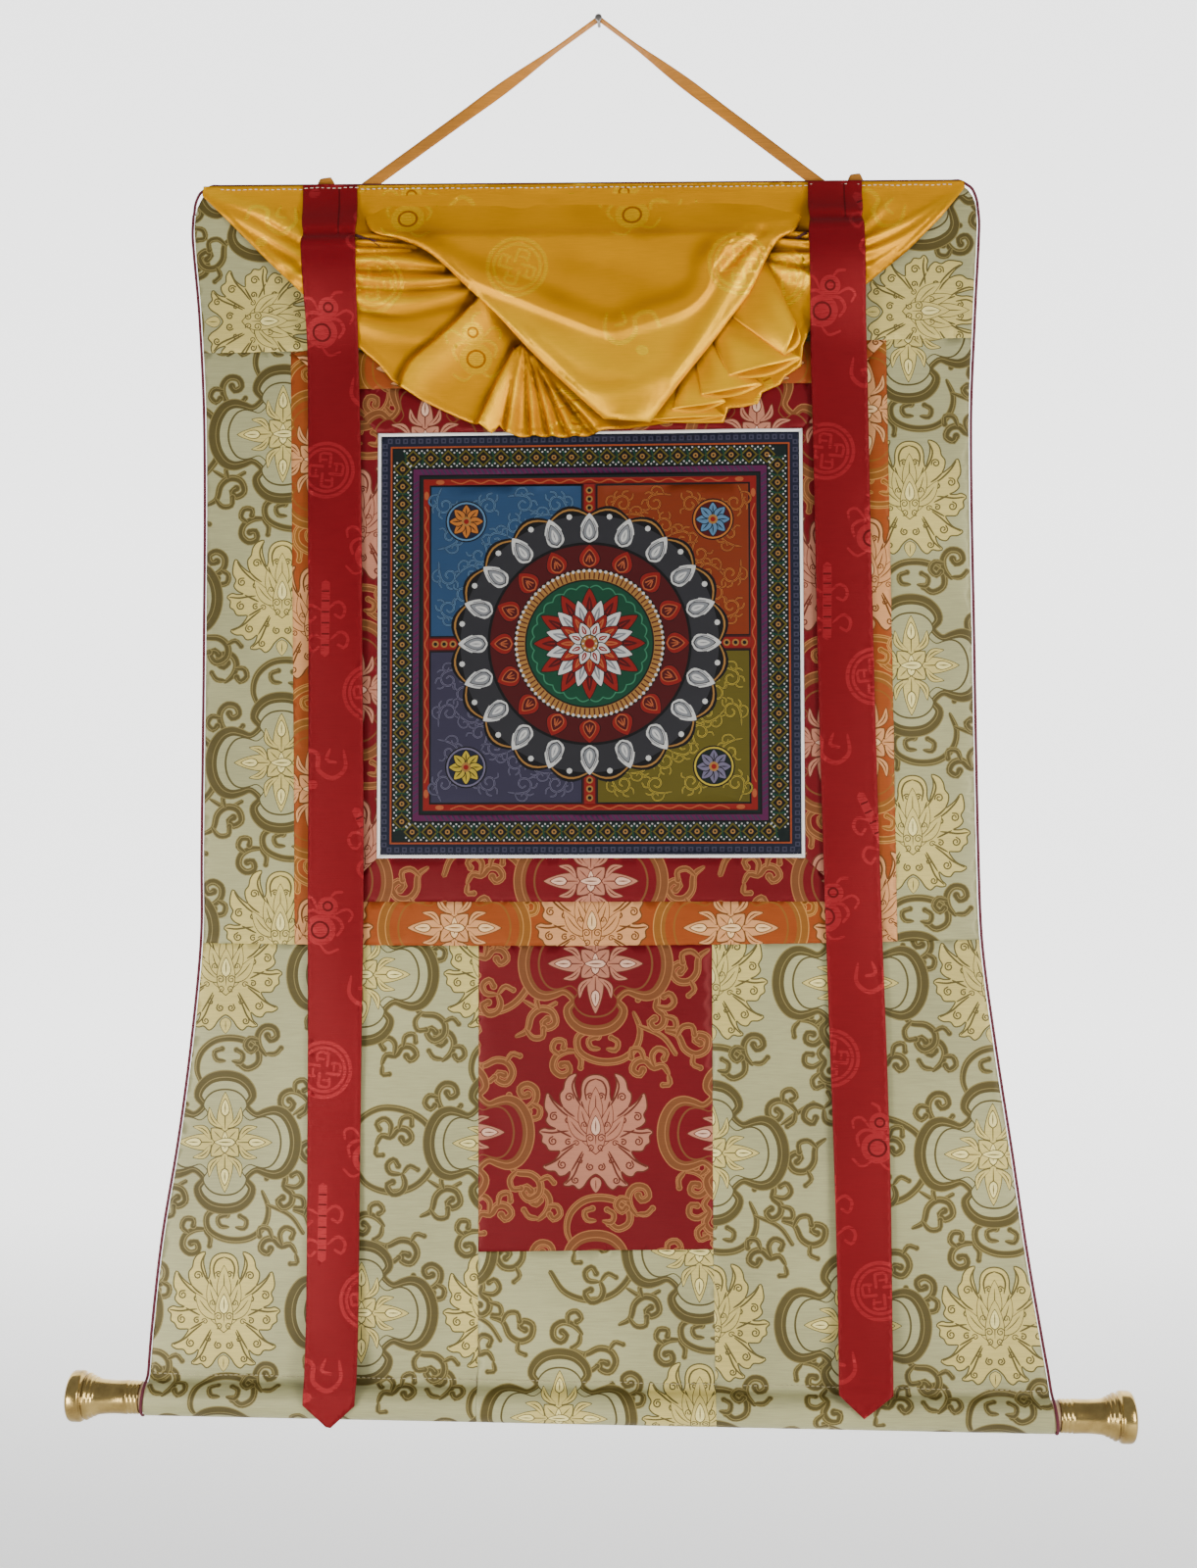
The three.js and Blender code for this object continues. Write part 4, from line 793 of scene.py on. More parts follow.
def collar_ring(scale=1.0):
    quarter = np.array(COLLAR_QUARTER) * scale
    half = np.vstack([quarter, (quarter * (1, -1))[-2::-1]])
    return np.vstack([half, (half * (-1, 1))[-2:0:-1]])[::-1]


def draw_collar():
    """A cloud collar of four lobes round a crossed flower."""
    figures = ring_band(collar_ring(), 9.6, VINE, light=1.0)
    figures += ring_band(collar_ring(0.79), 1.5, VINE)
    for turn, reach in ((0, 44), (90, 42), (180, 44), (270, 42)):
        leaf = petal((0, 4), (0, reach), 15)
        leaf += petal((3, 13), (9, reach - 12), 5.5, -0.3) + petal((-3, 13), (-9, reach - 12), 5.5, 0.3)
        leaf += petal((0, reach - 20), (0, reach - 6), 7, tone=BRIGHT)
        figures += moved(leaf, turn=turn)
    for turn in (45, 135, 225, 315):
        figures += moved(petal((0, 2), (0, 17), 13), turn=turn)
    for turn in (0, 90):
        figures += moved(petal((0, -9), (0, 9), 7, tone=BRIGHT), turn=turn)
    return figures


# Sprigs of vine: a main curl first, then the side hooks and leaves that grow from it.
HOOKED_SPRIG = [([(3, -12), (6, -2), (4, 8), (-4, 13), (-12, 9), (-12, 1), (-5, 0), (-4, 5)], 7.0),
                ([(5, 4), (12, 8), (18, 3), (15, -4), (10, -2)], 6.0),
                ([(3, -10), (-5, -13), (-12, -10)], 5.4)]
CLOUD_SPRIG = [([(-17, -5), (-10, 2), (-2, -1), (6, 4), (14, 1), (16, -7), (9, -10), (7, -5)], 7.0),
               ([(-3, 0), (1, 9), (-3, 16), (-11, 14), (-10, 8)], 6.0),
               ([(7, 4), (12, 12), (20, 11), (19, 4)], 5.6), ([(-16, -5), (-19, -13), (-13, -15)], 5.2)]
COMMA_SPRIG = [([(1, -3), (8, 3), (9, 11), (3, 17), (-5, 13), (-2, 8)], 6.8),
               ([(1, -2), (-8, 2), (-14, -3), (-11, -10), (-5, -7)], 6.2),
               ([(2, -3), (4, -12), (12, -13)], 5.2)]
LONG_SPRIG = [([(-19, 12), (-9, 6), (4, 9), (14, 5), (17, -5), (10, -13), (2, -9), (4, -3), (9, -5)], 7.0),
              ([(-9, 7), (-12, -2), (-7, -9), (0, -6)], 5.6), ([(13, 6), (19, 12), (26, 9)], 5.2)]
# Where each sprig stands in the repeat: its place, its turn, and 1 where it is flipped.
SPRIG_PLACES = [
    (HOOKED_SPRIG, [(36, 241, 20, 1), (65, 190, 60, 0), (200, 236, 330, 0), (199, 190, 20, 1),
                    (133, 80, 60, 0), (222, 66, 110, 0), (88, 262, 250, 1), (186, 28, 300, 0)]),
    (CLOUD_SPRIG, [(56, 110, 285, 0), (156, 231, 20, 0), (152, 158, 15, 0), (50, 60, 350, 1),
                   (100, 230, 100, 1)]),
    (COMMA_SPRIG, [(158, 122, 150, 1), (99, 188, 120, 0)]),
    (LONG_SPRIG, [(184, 258, 340, 0), (197, 96, 60, 0), (157, 55, 10, 0), (84, 84, 130, 1),
                  (84, 150, 250, 0)]),
]
BIG_LOOP = [(-37, 12), (-30, 28), (-12, 38), (10, 36), (29, 25), (38, 7), (35, -14), (20, -31), (-2, -37),
            (-24, -30), (-37, -12)]
SMALL_LOOP = [(24, 30), (30, 14), (26, -2), (12, -13), (-8, -14), (-24, -6), (-26, 7), (-16, 13), (-8, 8)]
VINE_LINKS = [[(62, 176), (76, 186), (92, 196)], [(190, 140), (206, 150), (222, 142)],
              [(38, 96), (60, 86), (72, 70)], [(120, 186), (112, 204), (96, 214)],
              [(184, 118), (200, 110), (214, 116)]]


def draw_sprigs():
    """The scrolling vines of one repeat: loops and sprigs, each set one by one."""
    figures = moved(vine(BIG_LOOP, 7.0, (0.7, 0.7), 0), 153, 144)
    figures += moved(vine(SMALL_LOOP, 6.8), 10, 78)
    figures += moved(vine(SMALL_LOOP, 7.0), 4, 230, turn=180)
    pair = vine([(-3, -5), (-11, -4), (-13, 3), (-6, 6)], 5.4)
    pair += vine([(3, -5), (11, -6), (13, 1), (7, 5)], 5.4)
    figures += moved(pair, 7, 80) + moved(pair, 3, 229)
    for link in VINE_LINKS:
        figures += vine(link, 4.8, bulb=0)
    for sprig, places in SPRIG_PLACES:
        drawn = [figure for points, width in sprig for figure in vine(points, width)]
        for x, z, turn, flip in places:
            figures += moved(drawn, x, z, turn, bool(flip))
    return figures


def draw_repeat():
    wide, tall = WEAVE_TILE
    return (draw_sprigs() + moved(draw_collar(), 0, tall / 2) + moved(draw_collar(), wide / 2, 0)
            + moved(draw_lotus(), scale=0.91))


def spread(figures, outline, x, z, turn=0):
    """Copies of the repeat over an outline, with one lotus at x, z; the cloth may lie turned."""
    wide, tall = WEAVE_TILE
    low, high = outline.min(0), outline.max(0)
    reach = 1.3 * tall
    laid = []
    for column, row in product(range(-5, 6), repeat=2):
        shift = moved([(np.array([[column * wide, row * tall]], float), 0)], x, z, turn)[0][0][0]
        if (shift + reach > low).all() and (shift - reach < high).all():
            laid += moved(figures, *shift, turn)
    return laid


weave_repeat = draw_repeat()


def colour_ramp(tree, value, colours, blend="CONSTANT"):
    """Colours in even steps of a value, or blended between even stops."""
    ramp = node(tree, "ValToRGB", {0: value})
    ramp.color_ramp.interpolation = blend
    stops = ramp.color_ramp.elements
    last = len(colours) if blend == "CONSTANT" else len(colours) - 1
    while len(stops) < len(colours):
        stops.new(0.5)
    for index, colour in enumerate(colours):
        stops[index].position = index / last
        stops[index].color = (*colour, 1)
    return ramp.outputs[0]


def figured_silk(name, colours, glosses, tint, pitch=0.0009, bump=0.3, metallic=0.12, vary=0.13, painted_light=()):
    """Figured silk: the tone of each face picks its thread's colour and gloss. Where it hangs in
    folds, painted highlight makes it lighter on the crests and painted shade darker in the valleys."""
    material, tree, cloth = new_finish(name, specular_tint=(*tint, 1), metallic=metallic)
    tone = node(tree, "Attribute", attribute_name="tone").outputs["Fac"]
    count = len(colours)
    share = node(tree, "Math", {0: tone, 1: 1 / count, 2: 0.3 / count}, operation="MULTIPLY_ADD").outputs[0]
    thread_colour = colour_ramp(tree, share, colours)
    thread_gloss = colour_ramp(tree, share, [(gloss, gloss, gloss) for gloss in glosses])
    # Painted light and shade: a ramp on this attribute lightens the colour on crests and darkens it in
    # folds.
    if painted_light:
        fold = node(tree, "Attribute", attribute_name="painted_light").outputs["Fac"]
        thread_colour = tinted(tree, thread_colour, colour_ramp(tree, fold, painted_light, "EASE"))
    threads = weave_into(tree, cloth, thread_colour, pitch, 0.8, 7.0, 2.0, vary, bump, 0.0005)
    rough = node(tree, "MapRange", {0: threads.outputs["Shade"], 1: 0.3, 2: 0.7, 3: -0.05, 4: 0.07})
    gloss = node(tree, "Math", {0: thread_gloss, 1: rough.outputs[0]}, operation="ADD")
    tree.links.new(gloss.outputs[0], cloth.inputs["Roughness"])
    return material


BROCADE_GLOSS = (0.42, 0.52, 0.40, 0.44, 0.6, 0.34)
pale_silk = figured_silk("pale_silk_brocade", [
    (0.34, 0.33, 0.165), (0.068, 0.050, 0.008), (0.19, 0.15, 0.045), (0.55, 0.45, 0.135),
    (0.090, 0.068, 0.013), (0.76, 0.66, 0.25)], BROCADE_GLOSS, (1.0, 0.95, 0.75), vary=0.2)
orange_silk = figured_silk("orange_silk_brocade", [
    (0.25, 0.046, 0.008), (0.21, 0.075, 0.012), (0.44, 0.20, 0.050), (0.58, 0.27, 0.11),
    (0.11, 0.036, 0.008), (0.78, 0.50, 0.24)], BROCADE_GLOSS, (1.0, 0.6, 0.3))
red_silk = figured_silk("red_silk_brocade", [
    (0.115, 0.0013, 0.0055), (0.135, 0.050, 0.015), (0.30, 0.125, 0.042), (0.38, 0.160, 0.100),
    (0.085, 0.018, 0.010), (0.64, 0.40, 0.28)], BROCADE_GLOSS, (1.0, 0.4, 0.35))
lining_cotton = fabric("crimson_lining_cotton", (0.105, 0.006, 0.013), 0.0007, 0.6, 0.85, 0.0, 0.3, 0.14)


def seam_dip(distance, x, z):
    """How far a panel draws back beside its seams, with small puckers from the stitches."""
    roll = ridge(distance, 2.6) * 0.75
    pucker = ridge(distance, 9.0) * 0.22 * np.sin(x / 2.1 + z / 2.3) * np.sin((x - z) / 7.3)
    return roll + pucker


def cloth_ripple(x, z):
    """Soft creases of the hanging silk, up to about a millimetre."""
    soft = 0.45 * np.sin(x / 21 + z / 57 + 0.8) * np.sin(z / 39 - x / 95)
    return soft + 0.3 * np.sin(z / 17 + x / 44 + 1.3) * np.sin(x / 31 + 0.4)


def both_faces(x, front, back, z):
    """Points of a sheet's front and back, from their depths."""
    return np.column_stack([x, front, z]), np.column_stack([x, back, z])


def brocade_panel(name, material, slot, outline, lotus, turn=0):
    """One flat panel: its weave laid out with a lotus at a place, then hung on the cloth's curve."""
    figures = spread(weave_repeat, outline, *lotus, turn)
    spots, triangles, tones = inlay(outline, figures, grid_points(outline, 9, 9))
    x, z = spots.T
    distance = edge_distance(outline, spots)
    middle = cloth_depth(x, z) + cloth_ripple(x, z) * smooth_step(distance, 0, 20)
    dip = seam_dip(distance, x, z)
    faces = both_faces(x, middle - CLOTH_THICKNESS / 2 + dip, middle + CLOTH_THICKNESS / 2 - 0.4 * dip, z)
    panel = lined_sheet(name + "_brocade", *faces, triangles, tones, material, spots, lining_cotton)
    dress(panel, slot, name)


EDGE_INSET = 2 * PIPING_RADIUS + 2.5 * SEAM_GAP
CORNER_FOOT = 400


def cloth_left(z):
    return left_edge(z) + EDGE_INSET


def cloth_right(z):
    return right_edge(z) - EDGE_INSET


def orange_sides():
    """The left and the right seam of the orange frame."""
    seams = []
    for side in ("left", "right"):
        top_x, foot_x = ORANGE_CORNERS["top_" + side], ORANGE_CORNERS["bottom_" + side]
        seams.append(straight(top_x, top_seam(top_x), foot_x, waist_seam(foot_x)))
    return seams


def make_upper_panels():
    orange_left, orange_right = orange_sides()
    heading = panel_outline(
        lambda z: cloth_left(z) + 3 * smooth_step(z, CORNER_FOOT, TOP_HEIGHT),
        lambda z: cloth_right(z) - 3 * smooth_step(np.asarray(z) + CORNER_LIFT, CORNER_FOOT, TOP_HEIGHT),
        lambda x: top_edge(x) - 0.8, top_seam)
    brocade_panel("top_panel", pale_silk, "pale_brocade", heading, (-301, 300), turn=-90)
    strip = panel_outline(cloth_left, orange_left, top_seam, waist_seam)
    brocade_panel("left_strip", pale_silk, "pale_brocade", strip, (-281, 44))
    strip = panel_outline(orange_right, cloth_right, top_seam, waist_seam)
    brocade_panel("right_strip", pale_silk, "pale_brocade", strip, (289, 129))


def mitred_frame(prefix, outer, inner, material, slot, lotuses):
    """Four strips between an outer and an inner frame, mitred at their corners."""
    (left, right, top, bottom), (inner_left, inner_right, inner_top, inner_bottom) = outer, inner
    tl, tr = (*meeting(left, top), inner_left, inner_top), (*meeting(right, top), inner_right, inner_top)
    bl = (*meeting(left, bottom), inner_left, inner_bottom)
    br = (*meeting(right, bottom), inner_right, inner_bottom)
    strips = {
        "top": (straight(*tl), straight(*tr), top, steady(inner_top)),
        "bottom": (straight(*bl), straight(*br), steady(inner_bottom), bottom),
        "left": (left, steady(inner_left), level(*tl), level(*bl)),
        "right": (steady(inner_right), right, level(*tr), level(*br)),
    }
    for side, sides in strips.items():
        *lotus, turn = lotuses[side]
        brocade_panel(f"{prefix}_{side}", material, slot, panel_outline(*sides), lotus, turn)


def make_borders():
    cotton = (PAINTING[0] - COTTON_WIDTH, PAINTING[1] + COTTON_WIDTH,
              PAINTING[2] + COTTON_WIDTH, PAINTING[3] - COTTON_WIDTH)
    red_outer = [steady(value) for value in RED_FRAME]
    mitred_frame("orange_border", (*orange_sides(), top_seam, waist_seam), RED_FRAME, orange_silk,
                 "orange_brocade", {"top": (0, 254, -90), "bottom": (2, -257, 0),
                                    "left": (-252, 20, 0), "right": (252, 60, 0)})
    mitred_frame("red_border", red_outer, cotton, red_silk,
                 "red_brocade", {"top": (-150, 63, -90), "bottom": (1, -366, 0),
                                 "left": (-212, 110, 0), "right": (212, 60, 0)})


def make_door():
    foot = level(DOOR["left"], DOOR["left_foot"], DOOR["right"], DOOR["right_foot"])
    outline = panel_outline(steady(DOOR["left"]), steady(DOOR["right"]), waist_seam, foot)
    brocade_panel("door_panel", red_silk, "red_brocade", outline, (5, -440))


make_upper_panels()
make_borders()
make_door()

# Lower panels: pale brocade either side of the door and under it. Each runs down the front of
# the dowel, round below it and up behind, and is stitched to itself to make the dowel's sleeve.
COVER_OUT, FOLD_UP = CLOTH_THICKNESS / 2 + SLEEVE_FILLET, 19.85
SLEEVE_MEET = math.atan2(FOLD_UP, COVER_OUT)
FILLET_LENGTH, ROUND_LENGTH = SLEEVE_FILLET * SLEEVE_MEET, SLEEVE_RADIUS * (math.pi + 2 * SLEEVE_MEET)
SLEEVE_LENGTH = 2 * FILLET_LENGTH + ROUND_LENGTH
SLEEVE_WALL = 2.2


def fold_height(x):
    return dowel_height(x) + FOLD_UP


def sleeve_spot(passed, inward):
    """Distance out from the cloth and up from the dowel's axis, by the length passed round it."""
    first = SLEEVE_MEET * np.clip(passed / FILLET_LENGTH, 0, 1)
    front = np.column_stack([COVER_OUT - (SLEEVE_FILLET + inward) * np.cos(first),
                             FOLD_UP - (SLEEVE_FILLET + inward) * np.sin(first)])
    angle = SLEEVE_MEET - (passed - FILLET_LENGTH) / SLEEVE_RADIUS
    ring = (SLEEVE_RADIUS - inward)[:, None] * np.column_stack([np.cos(angle), np.sin(angle)])
    last = SLEEVE_MEET * np.clip((SLEEVE_LENGTH - passed) / FILLET_LENGTH, 0, 1)
    behind = np.column_stack([(SLEEVE_FILLET + inward) * np.cos(last) - COVER_OUT,
                              FOLD_UP - (SLEEVE_FILLET + inward) * np.sin(last)])
    on_ring = (passed >= FILLET_LENGTH)[:, None]
    at_back = (passed > SLEEVE_LENGTH - FILLET_LENGTH)[:, None]
    return np.where(at_back, behind, np.where(on_ring, ring, front))


def hung_height(x, laid):
    """Real height of a laid-out height, which passes round the dowel below the fold."""
    passed = np.atleast_1d(fold_height(x) - laid).astype(float)
    spot = sleeve_spot(np.maximum(passed, 0), np.zeros_like(passed))
    height = np.where(passed > 0, dowel_height(x) + spot[:, 1], laid)
    return height if np.ndim(laid) else height[0]


def skirt_panel(name, left, right, top, lotus):
    """A panel hung from its top seam and wrapped round the dowel."""
    outline = panel_outline(lambda z: left(hung_height(0.0 * np.asarray(z), z)),
                            lambda z: right(hung_height(0.0 * np.asarray(z), z)),
                            top, lambda x: fold_height(x) - SLEEVE_LENGTH - SEAM_GAP / 2)
    figures = spread(weave_repeat, outline, *lotus)
    filling = np.vstack([grid_points(outline, 11, 11, HEM_FOLD_HEIGHT + 4),
                         grid_points(outline, 11, 2.2, None, HEM_FOLD_HEIGHT + 4)])
    spots, triangles, tones = inlay(outline, figures, filling)
    x, laid = spots.T
    passed = fold_height(x) - laid
    wrapped = passed > 0
    distance = edge_distance(outline, spots)
    dip = seam_dip(distance, x, laid)
    ripple = cloth_ripple(x, laid) * smooth_step(distance, 0, 20) * smooth_step(-passed, 0, 40)
    stitched = 0.7 * ridge(passed + 1.5, 1.8) * (1 + 0.5 * np.sin(x / 0.9))
    middle = cloth_depth(x, laid) + ripple
    round_share = np.clip(passed / SLEEVE_LENGTH, 0, 1)
    slack = 0.5 * np.sin(x / 9 + 2 * np.sin(x / 61)) * np.sin(round_share * math.pi)
    sunk = 0.35 * dip - 0.45 * np.abs(slack)
    outer = sleeve_spot(np.maximum(passed, 0), np.maximum(sunk, 0))
    inner_wall = SLEEVE_WALL - 1.4 * smooth_step(passed, SLEEVE_LENGTH - 12, SLEEVE_LENGTH)
    inner = sleeve_spot(np.maximum(passed, 0), inner_wall)
    fronts, backs = (
        np.column_stack([x, np.where(wrapped, -BOTTOM_DEPTH - wall[:, 0], hanging),
                         np.where(wrapped, dowel_height(x) + wall[:, 1], laid)])
        for wall, hanging in ((outer, middle - CLOTH_THICKNESS / 2 + dip + stitched),
                              (inner, middle + CLOTH_THICKNESS / 2 - 0.4 * dip)))
    unrolled = np.column_stack([x, laid - 2 * np.maximum(passed, 0)])
    panel = lined_sheet(name + "_brocade", fronts, backs, triangles, tones, pale_silk, unrolled,
                        lining_cotton)
    dress(panel, "pale_brocade", name)


def foot_side(key):
    """A side seam of the foot panel, which runs on from the door's side and moves a little."""
    def side(z):
        fall = DOOR["right_foot"] - np.asarray(z, float)
        share = np.clip(fall / (DOOR["right_foot"] - FOOT_PANEL["height"]), 0, 1)
        return DOOR[key] + (FOOT_PANEL[key] - DOOR[key]) * share
    return side


def make_skirt():
    foot_left, foot_right = foot_side("left"), foot_side("right")
    foot_top = level(DOOR["left"], DOOR["left_foot"], DOOR["right"], DOOR["right_foot"])
    skirt_panel("lower_left_panel", cloth_left, foot_left, waist_seam, (-330, -299))
    skirt_panel("foot_panel", foot_left, foot_right, foot_top, (97, -695))
    skirt_panel("lower_right_panel", foot_right, cloth_right, waist_seam, (357, -306))


def stitches(name, spots, half, thread_radius, thread, slot):
    """A row of level stitches, each a short thread that thins at both ends."""
    points, faces = [], []
    for x, y, z in spots:
        start = len(points)
        for along, radius in ((-half, 0.12), (0.5 - half, thread_radius),
                              (half - 0.5, thread_radius), (half, 0.12)):
            for turn in range(5):
                angle = math.tau * turn / 5
                points.append((x + along, y + radius * math.cos(angle), z + radius * math.sin(angle)))
        faces.extend(tuple(start + corner for corner in face) for face in tube_faces(4, 5))
    dress(add_mesh(name, points, faces, thread), slot)


def make_hem_stitches():
    """A row of stitches in pale thread where the sleeve's edge is sewn down under the fold."""
    spots = []
    for x in np.arange(-392, 401, 4.6):
        z = fold_height(x) + 1.5 + 0.4 * math.sin(x / 13)
        spots.append((x, cloth_depth(x, z) - CLOTH_THICKNESS / 2 + 0.1, z))
    thread = fabric("hem_thread", (0.42, 0.36, 0.2), 0.0004, 0.4, 0.6, 0.1, 0.2, 0.1)
    stitches("hem_stitches", spots, 1.5, 0.38, thread, "gold_tape")


make_skirt()
make_hem_stitches()

# Cotton piping: a white cotton cord folded into a strip and sewn as a narrow frame round the
# picture, mitred at the corners.
def make_cotton_piping():
    left, right, top, bottom = PAINTING
    wide = COTTON_WIDTH
    cotton = fabric("white_cotton", (0.80, 0.79, 0.75), 0.0009, 0.7, 0.85, 0.2, 0.35, 0.1)
    corners = {
        "top": ((left, top), (right, top), (0, 1)), "bottom": ((right, bottom), (left, bottom), (0, -1)),
        "left": ((left, bottom), (left, top), (-1, 0)), "right": ((right, top), (right, bottom), (1, 0)),
    }
    section = [(0.04, 0.0), (0.04, 0.9), (0.16, 1.45), (0.34, 1.75), (0.5, 1.85), (0.66, 1.75),
               (0.84, 1.45), (0.96, 0.9), (0.96, 0.0), (0.96, -1.1), (0.04, -1.1)]
    for side, (start, end, outward) in corners.items():
        start, end, outward = (np.array(value, float) for value in (start, end, outward))
        along = unit(end - start)
        rings = []
        for share in np.linspace(0, 1, 48):
            for reach, lift in section:
                spot = start + (end - start) * share + outward * reach * wide
                spot = spot + along * reach * wide * (2 * share - 1)
                knot = 0.16 * math.sin(share * 260) * (lift > 0)
                rings.append((spot[0], cloth_depth(*spot) - 0.15 - lift - knot, spot[1]))
        strip = add_mesh(f"cotton_piping_{side}_cord", rings, tube_faces(48, len(section)), cotton)
        dress(strip, "white_cotton", f"cotton_piping_{side}")


# Edge piping: a thin cord covered in crimson cotton, sewn down both sides, round the open ends
# of the sleeve, and along the top edge with its two rounded corners.
def round_cord(name, middles, radius, material, sides=10):
    """A round cord along middle points."""
    along = unit(np.gradient(middles, axis=0))
    first = unit(np.cross(along, (0.3, 0.9, 0.2)))
    second = np.cross(along, first)
    rings = []
    for turn in range(sides):
        angle = math.tau * turn / sides
        rings.append(middles + radius * (first * math.cos(angle) + second * math.sin(angle)))
    return add_mesh(name, np.stack(rings, axis=1).reshape(-1, 3), tube_faces(len(middles), sides), material)


def make_edge_piping():
    crimson = fabric("crimson_cotton", (0.095, 0.006, 0.018), 0.0006, 0.5, 0.8, 0.0, 0.3, 0.15)

    def side_spot(edge, inward, z):
        x = float(edge(z)) + inward * PIPING_RADIUS
        return x, float(cloth_depth(x, z)), z
    corner_rises, round_dowel = [SEAM_GAP, 5, 10, 14, 17.5], 15.5
    for name, edge, inward in (("edge_piping_left", left_edge, 1), ("edge_piping_right", right_edge, -1)):
        foot = float(fold_height(edge(HEM_FOLD_HEIGHT)))
        points = [side_spot(edge, inward, z) for z in np.linspace(CORNER_FOOT, foot, 60)]
        for degrees in range(58, -119, -22):
            angle = math.radians(degrees)
            z = foot - FOLD_UP + round_dowel * math.sin(angle)
            points.append((float(edge(z)) + inward * PIPING_RADIUS,
                           -BOTTOM_DEPTH - round_dowel * math.cos(angle), z))
        cord = round_cord(name + "_cord", smooth_path(points, 3.0), PIPING_RADIUS, crimson)
        dress(cord, "crimson_piping", name)
    points = [side_spot(left_edge, 1, CORNER_FOOT + rise + CORNER_LIFT) for rise in corner_rises]
    points[0] = (*points[0][:2], CORNER_FOOT + SEAM_GAP)
    for x in (-349, -341, -325, -230, -115, 0, 115, 230, 313, 329, 337):
        points.append((x, -TOP_DEPTH, float(top_edge(x)) + PIPING_RADIUS - SEAM_GAP))
    for rise in reversed(corner_rises):
        drop = CORNER_LIFT if rise > SEAM_GAP else 0
        points.append(side_spot(right_edge, -1, CORNER_FOOT + rise - drop))
    top = round_cord("edge_piping_top_cord", smooth_path(points, 3.0), PIPING_RADIUS, crimson)
    dress(top, "crimson_piping", "edge_piping_top")


make_cotton_piping()
make_edge_piping()

# Dowel and knobs: a round stick of plain wood inside the sleeve, held in the sockets of two knobs
# of turned brass, which have fine rings beside the cloth, a plain waist and a flared end.
KNOB_FACES = (-404.1, 411.6)
SOCKET_DEPTH = 18
KNOB_PROFILE = [
    (0, 13.3), (0.1, 13.7), (0.8, 14.4), (2.6, 14.5), (3.1, 14.2), (3.4, 13.8), (3.8, 14.2),
    (4.4, 14.5), (6.2, 14.5), (6.7, 14.2), (7, 13.8), (7.4, 14.2), (8, 14.6), (9.8, 14.6), (10.3, 14.3),
    (10.8, 13.9), (11.3, 14.3), (12, 14.8), (14, 14.75), (18, 14.55), (22, 14.5), (27, 14.6),
    (32, 14.9), (36, 15.3), (39, 15.9), (40.2, 16.7), (41, 17.2), (41.8, 17.2), (42.5, 16.8),
    (43.2, 17.6), (44, 18.6), (44.9, 18.7), (45.5, 18.2), (46.5, 19.4), (47.5, 20.4), (48.5, 20.6),
    (49.3, 20.2), (50.2, 19.5), (51, 19.2), (51.8, 20.2), (52.6, 21.6), (53.8, 22.3), (55, 22.5),
    (57.5, 22.5), (60, 22.5), (62, 22.2), (63.4, 21.4), (64.6, 19.4), (65.2, 17.5), (65.8, 14),
    (66.2, 10), (66.4, 5), (66.5, 0.05),
]


def grained_wood():
    material, tree, wood = new_finish("plain_wood", roughness=0.55)
    spot = node(tree, "TexCoord").outputs["Object"]
    drawn = node(tree, "Mapping", {"Vector": spot, "Scale": (8, 160, 160)})
    grain = node(tree, "TexNoise", {"Vector": drawn.outputs[0], "Scale": 1.0, "Detail": 5.0})
    ramp = node(tree, "ValToRGB", {0: grain.outputs[0]})
    ramp.color_ramp.elements[0].color = (0.30, 0.17, 0.08, 1)
    ramp.color_ramp.elements[1].color = (0.55, 0.36, 0.19, 1)
    tree.links.new(ramp.outputs[0], wood.inputs["Base Color"])
    return material


def make_dowel_and_knobs():
    along = unit((1, 0, -0.008))
    start, end = KNOB_FACES[0] - (SOCKET_DEPTH - 1), KNOB_FACES[1] + (SOCKET_DEPTH - 1)
    length = end - start
    profile = [(0, 0.05), (0, 12.2), (0.8, 13), (length - 0.8, 13), (length, 12.2), (length, 0.05)]

    def on_axis(x):
        return x, -BOTTOM_DEPTH, dowel_height(x) - 0.3
    dowel = turned_solid("wooden_dowel", profile, on_axis(start), along, 40, grained_wood())
    dress(dowel, "dowel_wood", "dowel")
    brass = metal("turned_brass", (0.52, 0.37, 0.13), 0.13, (0.26, 0.17, 0.055))
    socket = [(SOCKET_DEPTH, 0.05), (SOCKET_DEPTH, 13.3)]
    for side, face, outward in (("left", KNOB_FACES[0], -1), ("right", KNOB_FACES[1], 1)):
        knob = turned_solid(f"brass_knob_{side}", socket + KNOB_PROFILE, on_axis(face), along * outward, 72,
                            brass)
        dress(knob, "knob_brass", f"knob_{side}")


make_dowel_and_knobs()

# Painting: a square of primed canvas, painted with a plain garden pattern of rosettes: rows of
# petals round a green pool, scrolls in four quarters, a flower in each corner, and a beaded border.
CANVAS_THICKNESS = 1.6
PIGMENTS = [
    (0.020, 0.024, 0.055), (0.085, 0.085, 0.135), (0.46, 0.105, 0.030), (0.010, 0.024, 0.022),
    (0.155, 0.020, 0.105), (0.33, 0.020, 0.014), (0.52, 0.15, 0.055), (0.040, 0.105, 0.215),
    (0.150, 0.290, 0.450), (0.300, 0.055, 0.010), (0.60, 0.23, 0.045), (0.170, 0.140, 0.015),
    (0.60, 0.47, 0.060), (0.065, 0.058, 0.105), (0.220, 0.200, 0.290), (0.72, 0.72, 0.70),
    (0.300, 0.310, 0.330), (0.050, 0.050, 0.058), (0.010, 0.095, 0.050), (0.070, 0.280, 0.160),
    (0.115, 0.007, 0.009), (0.44, 0.24, 0.07), (0.007, 0.007, 0.008),
]
(NAVY, SLATE, ORANGE, BOTTLE, MAGENTA, RED, CORAL, BLUE, PALE_BLUE, RUST, AMBER, OLIVE, YELLOW, VIOLET,
 LILAC, WHITE, GREY, CHARCOAL, GREEN, MINT, WINE, GOLD, BLACK) = range(23)


def square(half, tone, x=0.0, z=0.0, turn=0.0):
    corners = np.array([(-half, -half), (half, -half), (half, half), (-half, half)], float)
    return moved([(corners, tone)], x, z, turn)


